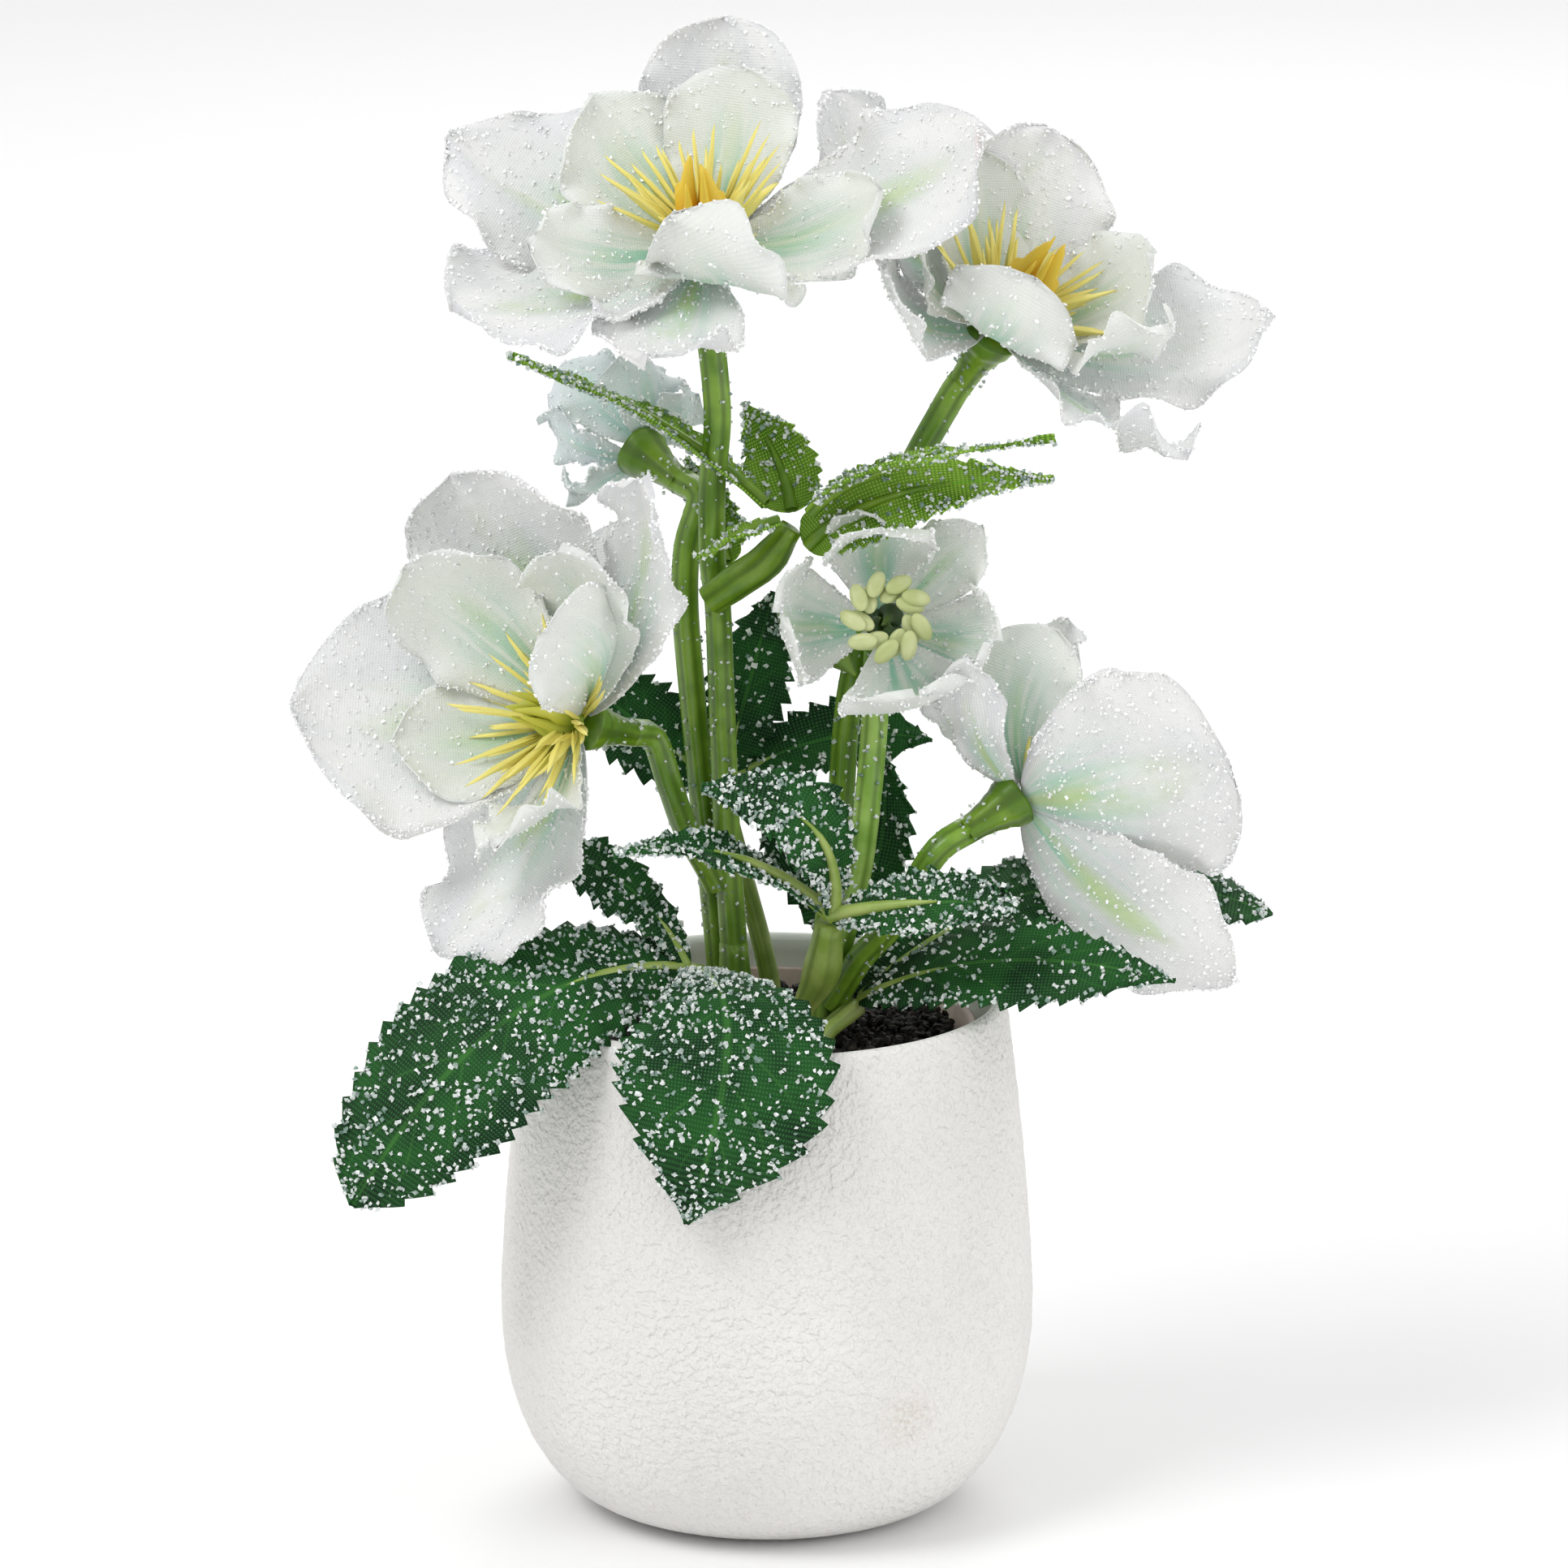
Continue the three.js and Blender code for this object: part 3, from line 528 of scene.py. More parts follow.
# %% Spin the pot
def build_pot():
    chain = pot_profile()
    bm = bmesh.new()
    points = [bm.verts.new(mm((r, 0, z))) for r, z in chain]
    edges = [bm.edges.new(pair) for pair in zip(points, points[1:])]
    bmesh.ops.spin(
        bm, geom=points + edges, cent=(0, 0, 0), axis=(0, 0, 1), angle=2 * math.pi,
        steps=300, use_merge=True,
    )
    bmesh.ops.remove_doubles(bm, verts=bm.verts, dist=1e-6)
    bmesh.ops.recalc_face_normals(bm, faces=bm.faces)
    for face in bm.faces:
        middle = face.calc_center_median()
        skin = face.normal.dot(Vector((middle.x, middle.y, 0))) > 0 or middle.z < 1 * MM
        face.material_index = 0 if skin or middle.z < 3 * MM else 1
    for point in bm.verts:
        radius = math.hypot(point.co.x, point.co.y) / MM
        height = point.co.z / MM
        on_skin = radius > pot_radius(height) - 0.5 and 0.5 < height
        if on_skin:
            fade = smooth(POT["height"] - height, 0.3, 3)
            relief = sum(deep * wander(*(point.co * close)) for close, deep in SKIN) * fade * MM
            point.co += Vector((point.co.x, point.co.y, 0)).normalized() * relief
    finish_piece("white_pot", mesh_from(bm, "white_pot"), [STUCCO, GLAZE], ["pot"])


build_pot()

# %% [markdown]
# ## Inner pot and soil
#
# The thin inner pot is turned in the same way. The soil is a grid pressed into a disc, made
# uneven, and strewn with small angular crumbs. Crumbs, frost and pollen are all copies of a
# tiny shape, so one helper tiles a template mesh to many places in a single mesh.


# %% Inner pot
def build_inner_pot():
    low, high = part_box("inner_pot")
    top, bottom = high.z / MM, low.z / MM
    outer_top, outer_bottom, wall = high.x / MM, 22, 1.4
    chain = [
        (0, bottom), (outer_bottom - 1, bottom), (outer_bottom, bottom + 1),
        (outer_top, top - 0.3), (outer_top - 0.4, top), (outer_top - wall, top - 0.2),
        (outer_bottom - wall, bottom + wall), (0, bottom + wall),
    ]
    bm = bmesh.new()
    points = [bm.verts.new(mm((r, 0, z))) for r, z in chain]
    edges = [bm.edges.new(pair) for pair in zip(points, points[1:])]
    bmesh.ops.spin(
        bm, geom=points + edges, cent=(0, 0, 0), axis=(0, 0, 1), angle=2 * math.pi,
        steps=96, use_merge=True,
    )
    bmesh.ops.remove_doubles(bm, verts=bm.verts, dist=1e-6)
    bmesh.ops.recalc_face_normals(bm, faces=bm.faces)
    mesh = mesh_from(bm, "inner_pot_shell")
    finish_piece("inner_pot_shell", mesh, [LINER_PLASTIC], ["inner_pot"])


build_inner_pot()


# %% Tile a small shape
def crumb_template(jitter, seed):
    """A stubby many-sided chip, about one unit from its middle to its skin."""
    bm = bmesh.new()
    bmesh.ops.create_icosphere(bm, subdivisions=1, radius=1)
    for point in bm.verts:
        point.co *= 1 + jitter * wander(*(point.co * 1.7 + Vector((seed, 0, 0))))
    return bm


def crystal_template(seed):
    """A crushed crystal: a small block with every corner pushed off true."""
    bm = bmesh.new()
    bmesh.ops.create_cube(bm, size=1.35)
    for point in bm.verts:
        point.co *= 1 + 0.9 * wander(*(point.co * 2.3 + Vector((seed, 1, 2))))
    bmesh.ops.triangulate(bm, faces=bm.faces)
    return bm


def tile(name, templates, places, pick):
    """One mesh with a copy of a template at each place. The blade attribute gets each point's
    height in its template (x) and a number of its own for each copy (z)."""
    points, faces, marks = [], [], []
    start = 0
    for kind, template in enumerate(templates):
        template.verts.ensure_lookup_table()
        corners = np.array([v.co for v in template.verts])
        polygons = [[v.index for v in f.verts] for f in template.faces]
        height = (corners[:, 2] - corners[:, 2].min()) / np.ptp(corners[:, 2])
        for place in [m for i, m in enumerate(places) if pick[i] == kind]:
            turn = np.array(place)
            points.append(corners @ turn[:3, :3].T + turn[:3, 3])
            faces.extend([[k + start for k in polygon] for polygon in polygons])
            number = (start * 0.61803) % 1
            marks.append(np.column_stack([height, 0 * height, 0 * height + number]))
            start += len(corners)
        template.free()
    mesh = bpy.data.meshes.new(name)
    mesh.from_pydata(np.concatenate(points).tolist(), [], faces)
    attribute = mesh.attributes.new("blade", "FLOAT_VECTOR", "POINT")
    attribute.data.foreach_set("vector", np.concatenate(marks).astype(np.float32).ravel())
    return mesh


def random_place(rng, point, size, stretch=0.35):
    turn = Quaternion((rng.gauss(0, 1), rng.gauss(0, 1), rng.gauss(0, 1), rng.gauss(0, 1))).normalized()
    shape = Matrix.Diagonal([size * (1 + rng.uniform(-stretch, stretch)) for _ in range(3)]).to_4x4()
    return Matrix.Translation(point) @ turn.to_matrix().to_4x4() @ shape


# %% Soil
SOIL_TOP = 72.6
CRUMBS = 2500


def build_soil():
    rng = random.Random(11)
    low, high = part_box("soil")
    radius = high.x / MM - 0.6
    bm = bmesh.new()
    bmesh.ops.create_circle(bm, cap_ends=True, cap_tris=True, segments=72, radius=radius * MM)
    spokes = [e for e in bm.edges if not e.is_boundary]
    bmesh.ops.subdivide_edges(bm, edges=spokes, cuts=12, use_grid_fill=True)
    bmesh.ops.triangulate(bm, faces=bm.faces)
    for point in bm.verts:
        x, y = point.co.x / MM, point.co.y / MM
        heap = 0.8 * wander(x * 0.25, y * 0.25, 3) + 0.4 * wander(x, y, 5)
        point.co.z = (SOIL_TOP - 0.6 + heap) * MM
    rim = [e for e in bm.edges if e.is_boundary]
    wall = bmesh.ops.extrude_edge_only(bm, edges=rim)
    for point in [g for g in wall["geom"] if isinstance(g, bmesh.types.BMVert)]:
        point.co.z = low.z
    bmesh.ops.holes_fill(bm, edges=[e for e in bm.edges if e.is_boundary], sides=0)
    bmesh.ops.recalc_face_normals(bm, faces=bm.faces)
    finish_piece("soil_bed", mesh_from(bm, "soil_bed"), [SOIL_GRIT], ["soil"])
    places, pick = [], []
    for _ in range(CRUMBS):
        angle, reach = rng.uniform(0, 2 * math.pi), radius * math.sqrt(rng.random())
        height = SOIL_TOP + rng.uniform(-0.7, 0.9)
        spot = mm((reach * math.cos(angle), reach * math.sin(angle), height))
        places.append(random_place(rng, spot, rng.uniform(0.3, 0.85) * MM, 0.5))
        pick.append(rng.randrange(2))
    mesh = tile("soil_crumbs", [crumb_template(0.5, 1), crumb_template(0.5, 2)], places, pick)
    finish_piece("soil_crumbs", mesh, [SOIL_GRIT], smooth_faces=False)


build_soil()

# %% [markdown]
# ## A cloth blade
#
# Petals, leaflets and bracts are all one idea: a strip of cloth along a curved midrib, with an
# outline that says how wide it is at each point. `blade` returns a function that gives the
# place of any point of the cloth from how far along (0 to 1) and across (-1 to 1) it is. The
# edges can lift into a cup, ruffle or be cut into saw teeth.

# %% Outlines
OUTLINE = {
    "petal": lambda u: u**0.62 * (1 - u**3.4) ** 0.55 / 0.67,
    "pointed": lambda u: u**0.62 * (1 - u**2.8) ** 0.8 / 0.60,
    "leaflet": lambda u: u**0.6 * (1 - u**2.3) ** 0.95 / 0.53,
    "spade": lambda u: u**0.95 * (1 - u**3) / 0.483,
    "broad": lambda u: u**0.5 * (1 - u**3.2) ** 0.6 / 0.67,
    "bract": lambda u: u**0.5 * (1 - u**1.3) ** 1.1 / 0.415,
}


# %% Blade
def hem_side(v):
    """Sets the small ripples of one edge out of step with those of the other."""
    return 2.1 if v > 0 else 0.0


def blade(
    base, tip, facing=UP, width=20.0, bow=0.0, via=None, cup=0.15, roll=0.0,
    outline="petal", ruffle=0.0, teeth=0, tooth=0.0, seed=0.0,
):
    chord = tip - base
    side0 = facing.cross(chord).normalized()
    lift0 = chord.cross(side0).normalized()
    middle = via if via is not None else (base + tip) / 2 + lift0 * bow * MM
    bend = 2 * middle - (base + tip) / 2
    shape = OUTLINE[outline]

    def surface(u, v):
        centre = base * (1 - u) ** 2 + bend * (2 * u * (1 - u)) + tip * u * u
        tangent = ((bend - base) * (1 - u) + (tip - bend) * u).normalized()
        side = (side0 - tangent * side0.dot(tangent)).normalized()
        side = Quaternion(tangent, math.radians(roll)) @ side
        lift = tangent.cross(side)
        half = max(0.4, width / 2 * shape(min(1, max(0, u))))
        edge = abs(v)
        if teeth:
            cut = tooth * ((u * teeth) % 1) * smooth(edge, 0.72, 1) * smooth(u, 0.02, 0.15)
            half = max(0.3, half - cut)
        else:
            hem = math.copysign(1, v)
            half *= 1 + 0.06 * wander(u * 4, hem, seed) + 0.035 * wander(u * 13, hem, seed) * edge
        rise = half * cup * v * v
        wave = math.sin(2 * math.pi * (1.7 * u + 0.35 * math.copysign(1, v)) + seed * 5)
        wave += 0.6 * wander(u * 7, v * 2, seed + 3)
        wave += 0.5 * math.sin(2 * math.pi * 4.3 * u + seed * 3 + hem_side(v)) * edge**4
        rise += 1.25 * ruffle * edge**2.4 * wave * smooth(u, 0.15, 0.6)
        rise += 0.35 * ruffle * wander(u * 3, v * 2.2, seed + 9) * smooth(u, 0.05, 0.4)
        across = half * v * (1 - 0.4 * cup * cup * v * v)
        return centre + side * (across * MM) + lift * (rise * MM)

    return surface


STEP = 0.01


def surface_normal(surface, u, v):
    """A point of the blade, and the way the cloth faces there."""
    here = surface(u, v)
    ahead = surface(min(1, u + STEP), v) - surface(max(0, u - STEP), v)
    beside = surface(u, min(1, v + STEP)) - surface(u, max(-1, v - STEP))
    return here, ahead.cross(beside).normalized()


# %% [markdown]
# ## Laying cloth on a blade
#
# `lay_cloth` makes a grid and moves each of its points to its place on the blade. It writes
# the thread map in millimetres and the `blade` attribute as it goes, so the materials know
# where they are.


# %% Lay cloth
def new_cloth():
    bm = bmesh.new()
    return bm, bm.loops.layers.uv.new("weave"), bm.verts.layers.float_vector.new("blade")


def lay_cloth(cloth, surface, length, width, along=36, across=18, number=0.0):
    bm, threads, marks = cloth
    made = bmesh.ops.create_grid(bm, x_segments=along, y_segments=across, size=1)
    for point in made["verts"]:
        u, v = (point.co.x + 1) / 2, point.co.y
        point[marks] = (u, v, number)
        point.co = surface(u, v)
    for face in {f for point in made["verts"] for f in point.link_faces}:
        for loop in face.loops:
            u, v, _ = loop.vert[marks]
            loop[threads].uv = (u * length, v * width / 2)


def frost_on(surface, rng, count, size, area=(0.12, 1.0), edge_share=0.3, thick=0.3):
    """Places for grains on a blade: some strewn over its face, some along its edges."""
    places = []
    for _ in range(count):
        u = rng.uniform(*area)
        v = rng.uniform(-1, 1)
        if rng.random() < edge_share:
            v = math.copysign(rng.uniform(0.93, 1.0), v)
        spot, up = surface_normal(surface, u, v)
        side = rng.choice((-1, 1))
        grain = size * rng.uniform(0.55, 1.25)
        spot = spot + up * (side * (thick + grain * 0.35) * MM)
        places.append(random_place(rng, spot, grain * MM))
    return places


def strew_frost(name, places, material):
    rng = random.Random(len(places))
    pick = [rng.randrange(4) for _ in places]
    mesh = tile(name, [crystal_template(k * 3.3) for k in range(4)], places, pick)
    finish_piece(name, mesh, [material], smooth_faces=False)


# %% [markdown]
# ## The six flowers
#
# Each flower has a heart, where its petals meet, and an axis, the way it faces. A petal is
# given by where its tip lies from the heart, how wide it is, and how far its midrib bows out.
# The outer ring lies under the inner one, which is a small step further along the axis.

# %% Flowers as named values
WHORL_STEP = 1.7
FLOWERS = {
    "top_left": {
        "heart": (-9, -5, 192.6),
        "axis": (-0.05, -0.5, 0.85),
        "outer": [
            dict(tip=(3, 18, 33), width=25, bow=-4, ruffle=1.6),
            dict(tip=(-38, 9, 17), width=27, bow=-3, roll=-20, outline="pointed", ruffle=2.2),
            dict(tip=(-37, -15, -5), width=30, bow=-2, roll=10, ruffle=2.0),
            dict(tip=(-8, -26, -9), width=23, bow=-3, ruffle=2.0),
            dict(tip=(41, -7, 20), width=25, bow=-4, roll=15, ruffle=1.8),
        ],
        "inner": [
            dict(tip=(-17, 8, 23), width=25, bow=-3, outline="pointed", ruffle=0.9),
            dict(tip=(5, 10, 27), width=21, bow=-3, ruffle=0.8),
            dict(tip=(26, -9, 12), width=16, bow=-4, roll=35, ruffle=2.2),
            dict(
                tip=(-5, -18, 10), via=(2, -14, -1), width=27, cup=0.1, outline="pointed", ruffle=2.4
            ),
            dict(tip=(-25, -12, 6), width=15, bow=-3, roll=-40, ruffle=1.6),
        ],
    },
    "top_right": {
        "heart": (33.4, 2, 179.4),
        "axis": (0.45, -0.4, 0.8),
        "outer": [
            dict(tip=(-25, 10, 35), width=21, bow=-3, ruffle=1.8),
            dict(tip=(9, 12, 29), width=27, bow=-3, ruffle=2.0),
            dict(tip=(42, 0, 3), width=26, bow=-4, roll=10, outline="pointed", ruffle=1.6),
            dict(tip=(29, -17, -14), width=14, bow=-3, roll=-25, ruffle=2.6),
            dict(tip=(-16, -15, 14), width=19, bow=-5, ruffle=1.2),
        ],
        "inner": [
            dict(tip=(-2, 7, 27), width=21, bow=-2, outline="pointed", ruffle=0.8),
            dict(tip=(6, -15, 12), width=22, bow=-6, cup=0.15, ruffle=1.6),
            dict(tip=(24, -2, 13), width=21, bow=-4, ruffle=1.2),
            dict(tip=(26, -16, 5), width=14, bow=-4, roll=-20, ruffle=2.0),
            dict(tip=(-10, -5, 16), width=14, bow=-4, ruffle=0.8),
        ],
    },
    "left": {
        "heart": (-26.8, -10, 123.1),
        "axis": (-0.7, -0.6, 0.3),
        "outer": [
            dict(tip=(-20, 5, 37), width=36, bow=-3, ruffle=1.4),
            dict(tip=(-44, 4, 2), width=39, bow=-4, roll=10, outline="pointed", ruffle=1.4),
            dict(tip=(-22, -6, -34), width=30, bow=-3, outline="pointed", ruffle=2.2),
            dict(tip=(8, -17, 41), width=18, bow=-5, roll=10, ruffle=1.8),
            dict(tip=(4, 12, 28), width=20, bow=-3, ruffle=1.2),
        ],
        "inner": [
            dict(tip=(-27, 0, 24), width=25, bow=-3, ruffle=1.0),
            dict(tip=(-4, -12, 29), width=19, bow=-4, roll=25, ruffle=1.2),
            dict(tip=(-6, -22, 19), width=21, bow=-5, roll=-50, ruffle=0.8),
            dict(tip=(-29, 0, -3), width=20, bow=-3, outline="pointed", ruffle=0.8),
            dict(tip=(-14, -19, -13), width=19, bow=-4, roll=10, ruffle=2.0),
        ],
    },
    "right": {
        "heart": (37, -8, 111.1),
        "axis": (0.8, 0.35, 0.45),
        "outer": [
            dict(tip=(31, -15, 10), width=39, bow=-3, ruffle=1.2),
            dict(tip=(33, -8, -26), width=25, bow=-3, roll=-38, outline="pointed", ruffle=1.2),
            dict(tip=(-7, -11, 24), width=10, bow=-3, roll=40, ruffle=1.0),
            dict(tip=(8, 16, 24), width=19, bow=-3, roll=45, ruffle=1.6),
            dict(tip=(14, 24, -10), width=18, bow=-3, ruffle=1.6),
            dict(tip=(-12, -3, 20), width=9, bow=-2, roll=30, ruffle=1.0),
        ],
        "inner": [
            dict(tip=(6, 5, 25), width=17, bow=-3, roll=50, ruffle=0.8),
            dict(tip=(8, 20, 6), width=14, bow=-3, ruffle=0.8),
            dict(tip=(22, 8, -11), width=13, bow=-3, ruffle=0.8),
        ],
    },
    "small": {
        "heart": (17.3, -5, 136.7),
        "axis": (0.07, -0.92, 0.38),
        "outer": [
            dict(tip=(-4, -5, 19), width=11, bow=-4, ruffle=1.0),
            dict(tip=(14, -2, 16), width=12, bow=-3, ruffle=1.2),
            dict(tip=(16, -13, 1), width=18, bow=-6, cup=0.3, ruffle=1.0),
            dict(tip=(5, -19, -6), width=23, bow=-6, cup=0.3, ruffle=1.0),
            dict(tip=(-15, -13, 5), width=20, bow=-6, cup=0.3, ruffle=1.0),
            dict(tip=(0, -12, 17), width=18, bow=-6, cup=0.3, ruffle=1.0),
        ],
    },
    "bud": {
        "heart": (-19, 20, 158),
        "axis": (-0.66, 0.66, 0.37),
        "outer": [
            dict(tip=(-11, 5, -7), width=12, bow=-2, ruffle=1.4),
            dict(tip=(-14, 8, 3), width=12, bow=-2, ruffle=1.4),
            dict(tip=(-12, 7, 12), width=13, bow=-2, ruffle=1.4),
            dict(tip=(-1, 3, 15), width=15, bow=-2, ruffle=1.4),
            dict(tip=(8, 5, 8), width=12, bow=-2, ruffle=1.4),
            dict(tip=(-4, 14, 6), width=13, bow=-2, ruffle=1.4),
        ],
    },
}
for flower in FLOWERS.values():
    flower["heart"] = mm(flower["heart"])
    flower["axis"] = Vector(flower["axis"]).normalized()
print("petals:", sum(len(f["outer"]) + len(f.get("inner", [])) for f in FLOWERS.values()))


# %% Petal rings
FIRST_WHORL = 0.6
PETAL_THICKNESS = 0.2
PETAL_GRAIN = 0.25
OUTER_FROST, INNER_FROST = 92, 45  # grains on 100 square millimetres


def petal_blade(flower, form, level, seed):
    root = flower["heart"] + flower["axis"] * ((FIRST_WHORL + level * WHORL_STEP) * MM)
    reach = mm(form["tip"])
    out = (reach - flower["axis"] * reach.dot(flower["axis"])).normalized()
    shape = {k: v for k, v in form.items() if k != "tip"}
    if "via" in shape:
        shape["via"] = flower["heart"] + mm(shape["via"])
    return blade(
        root + out * (1.6 * MM), flower["heart"] + reach, flower["axis"], seed=seed, **shape
    )


def build_petals(name, flower, ring, level, cloth_material, density):
    rng = random.Random(f"{name} {ring}")
    cloth = new_cloth()
    places = []
    for k, form in enumerate(flower[ring]):
        seed = level * 10 + k * 1.7 + len(name)
        surface = petal_blade(flower, form, level, seed)
        length = Vector(form["tip"]).length
        lay_cloth(cloth, surface, length, form["width"], number=seed)
        count = int(density * length * form["width"] / 100)
        places += frost_on(surface, rng, count, PETAL_GRAIN, thick=0.1)
    mesh = mesh_from(cloth[0], f"{name}_{ring}_cloth")
    node = f"{name}_{ring}_petals"
    finish_piece(
        f"{name}_{ring}_ring", mesh, [cloth_material], [node], thickness=PETAL_THICKNESS * MM
    )
    return places


for name, flower in FLOWERS.items():
    sheer = {"bud": BUD_CLOTH, "small": INNER_CLOTH}.get(name, OUTER_CLOTH)
    grains = build_petals(name, flower, "outer", 0, sheer, OUTER_FROST)
    if "inner" in flower:
        grains += build_petals(name, flower, "inner", 1, INNER_CLOTH, INNER_FROST)
    strew_frost(f"{name}_petal_frost", grains, PETAL_FROST)

# %% [markdown]
# ## Stems
#
# A stem is a moulded rod with five soft ridges. We start from a capped circle, then extrude
# the cap again and again along a smooth line through the stem's own points, turning it as the
# line turns. `radii` lets a rod swell or taper on the way.


# %% Smooth lines and rods
def smooth_line(points, pitch):
    """Points about a pitch apart on a smooth curve through the given ones."""
    ends = [points[0] * 2 - points[1], *points, points[-1] * 2 - points[-2]]
    line = []
    for a, b, c, d in zip(ends, ends[1:], ends[2:], ends[3:]):
        steps = max(1, round((c - b).length / pitch))
        for i in range(steps):
            t = i / steps
            square, cube = 2 * a - 5 * b + 4 * c - d, 3 * b - a - 3 * c + d
            line.append(0.5 * (2 * b + (c - a) * t + square * t**2 + cube * t**3))
    return [*line, points[-1]]


RIDGES = 5


def add_rod(bm, points, radii, sides=16, ridge=0.06, pitch=1.6):
    marks = bm.verts.layers.float_vector.get("blade") or bm.verts.layers.float_vector.new("blade")
    line = smooth_line(points, pitch * MM)
    count = len(line)
    ring = bmesh.ops.create_circle(bm, cap_ends=True, segments=sides, radius=1)["verts"]
    corners = list(ring)
    face = next(f for f in corners[0].link_faces if set(corners) <= set(f.verts))
    direction = (line[1] - line[0]).normalized()
    side = direction.orthogonal().normalized()
    for i, place in enumerate(line):
        ahead = (line[min(i + 1, count - 1)] - line[max(i - 1, 0)]).normalized()
        side = (side - ahead * side.dot(ahead)).normalized()
        other = ahead.cross(side)
        share = i / (count - 1) * (len(radii) - 1)
        k = min(int(share), len(radii) - 2)
        radius = (radii[k] + (radii[k + 1] - radii[k]) * smooth(share - k, 0, 1)) * MM
        if i:
            corners, face = extrude_cap(bm, face, corners)
        for j, corner in enumerate(corners):
            angle = 2 * math.pi * j / sides
            swell = math.cos(RIDGES * angle)
            reach = radius * (1 + ridge * swell)
            corner[marks] = (i / (count - 1), swell * (ridge > 0), 0)
            corner.co = place + side * (reach * math.cos(angle)) + other * (reach * math.sin(angle))


def extrude_cap(bm, face, corners):
    """Pulls a cap out into a new ring and returns the new ring's corners, in the same order."""
    old = {tuple(v.co): i for i, v in enumerate(corners)}
    made = bmesh.ops.extrude_face_region(bm, geom=[face])["geom"]
    fresh = [g for g in made if isinstance(g, bmesh.types.BMVert)]
    cap = next(g for g in made if isinstance(g, bmesh.types.BMFace))
    fresh.sort(key=lambda v: old[tuple(v.co)])
    if face.is_valid:
        bmesh.ops.delete(bm, geom=[face], context="FACES_ONLY")
    return fresh, cap


# %% Stem routes
RECEPTACLE = {"length": 9, "radii": [2.05, 2.15, 2.5, 3.1, 3.9, 4.2]}
SHORT_NECK = {"small": 5}
STEM_FOOT = 60


def above(flower, height):
    return flower["heart"] + flower["axis"] * (height * MM)


def into(name, points):
    """A route that ends straight in the flower's receptacle."""
    flower = FLOWERS[name]
    neck = SHORT_NECK.get(name, RECEPTACLE["length"])
    return [mm(p) for p in points] + [above(flower, -1.5 * neck - 0.4), above(flower, -neck + 0.2)]


STEMS = {
    "stem_top_left": into("top_left", [
        (-4.9, 2, 86.4), (-5.7, 2, 99), (-6.3, 2, 114), (-6.8, 2, 128), (-7.2, 2, 138.5),
        (-8, 1, 146), (-8, 0.5, 157), (-7.2, 0.5, 168),
    ]),
    "stem_bud": into("bud", [
        (-6.6, 6, STEM_FOOT), (-6.8, 6, 78), (-8.2, 5.6, 95), (-9.6, 5.5, 108), (-11, 6, 123),
        (-12.1, 6.5, 137), (-11.8, 8, 146),
    ]),
    "stem_top_right": into("top_right", [
        (8, 1.5, 81.4), (9.4, 3, 90), (11.1, 4, 106), (11.9, 5, 118), (13.1, 6, 127),
        (16.5, 7, 140.5), (20.3, 7.5, 155),
    ]),
    "stem_small": into("small", [
        (8.4, -4, STEM_FOOT), (8.6, -4.2, 78), (11.6, -4.8, 90), (14, -5, 100), (15.3, -4.5, 111),
        (16.2, -1, 121),
    ]),
    "branch_left": into("left", [(-7.2, 1.8, 95), (-8.6, 1.2, 98), (-12.1, -1, 105), (-14.5, -3, 112.5)]),
    "branch_right": into("right", [
        (9.6, -5.2, 78.5), (11.6, -6, 82), (14.5, -7.5, 87), (18.5, -10, 92), (21.5, -12, 98),
    ]),
    "socket_left": [mm(p) for p in ((-4.2, 2, STEM_FOOT), (-4.5, 2, 74), (-4.9, 2, 86.4))],
    "socket_right": [mm(p) for p in ((6.6, 1, STEM_FOOT), (7, 1, 73), (8, 1.5, 81.4))],
}
print("stems and sockets:", len(STEMS))


# %% Mould the stems
def build_stem(node, points):
    socket = node.startswith("socket")
    radii = [2.75, 2.75, 2.6, 2.1] if socket else [2.0, 1.95, 1.9, 1.95, 2.05]
    bm = bmesh.new()
    add_rod(bm, points, radii, sides=20, ridge=0.09)
    bmesh.ops.recalc_face_normals(bm, faces=bm.faces)
    plastic = PALE_STEM_PLASTIC if node == "stem_small" else STEM_PLASTIC
    finish_piece(f"{node}_rod", mesh_from(bm, node), [plastic], [node])


def rod_frost(points, radius, rng, per_mm, size):
    line = smooth_line(points, 1.0 * MM)
    places = []
    for a, b in zip(line, line[1:]):
        ahead = (b - a).normalized()
        side = ahead.orthogonal().normalized()
        whole, part = divmod(per_mm, 1)
        for _ in range(int(whole) + (rng.random() < part)):
            out = Quaternion(ahead, rng.uniform(0, 2 * math.pi)) @ side
            grain = size * rng.uniform(0.5, 1.2)
            spot = a.lerp(b, rng.random()) + out * ((radius + grain * 0.2) * MM)
            places.append(random_place(rng, spot, grain * MM))
    return places


FROST_LINE = 74  # nothing below the pot's rim is frosted
stem_rng = random.Random(5)
stem_grains = []
for node, route in STEMS.items():
    build_stem(node, route)
    stem_grains += rod_frost(route, 2.0, stem_rng, 2.4, 0.28)
stem_grains = [m for m in stem_grains if m.translation.z > FROST_LINE * MM]
strew_frost("stem_frost", stem_grains, LEAF_FROST)

# %% [markdown]
# ## Receptacles, stamens and pistils
#
# Under each flower the stem flares into a receptacle. In the heart stands the seed pod, orange
# or green, with slender styles, and round it a crown of yellow filaments. A filament is a bent,
# tapering spike: three templates, tiled round the heart with small differences. The small
# flower has fat pollen sacs instead of filaments, round a dark green pod.


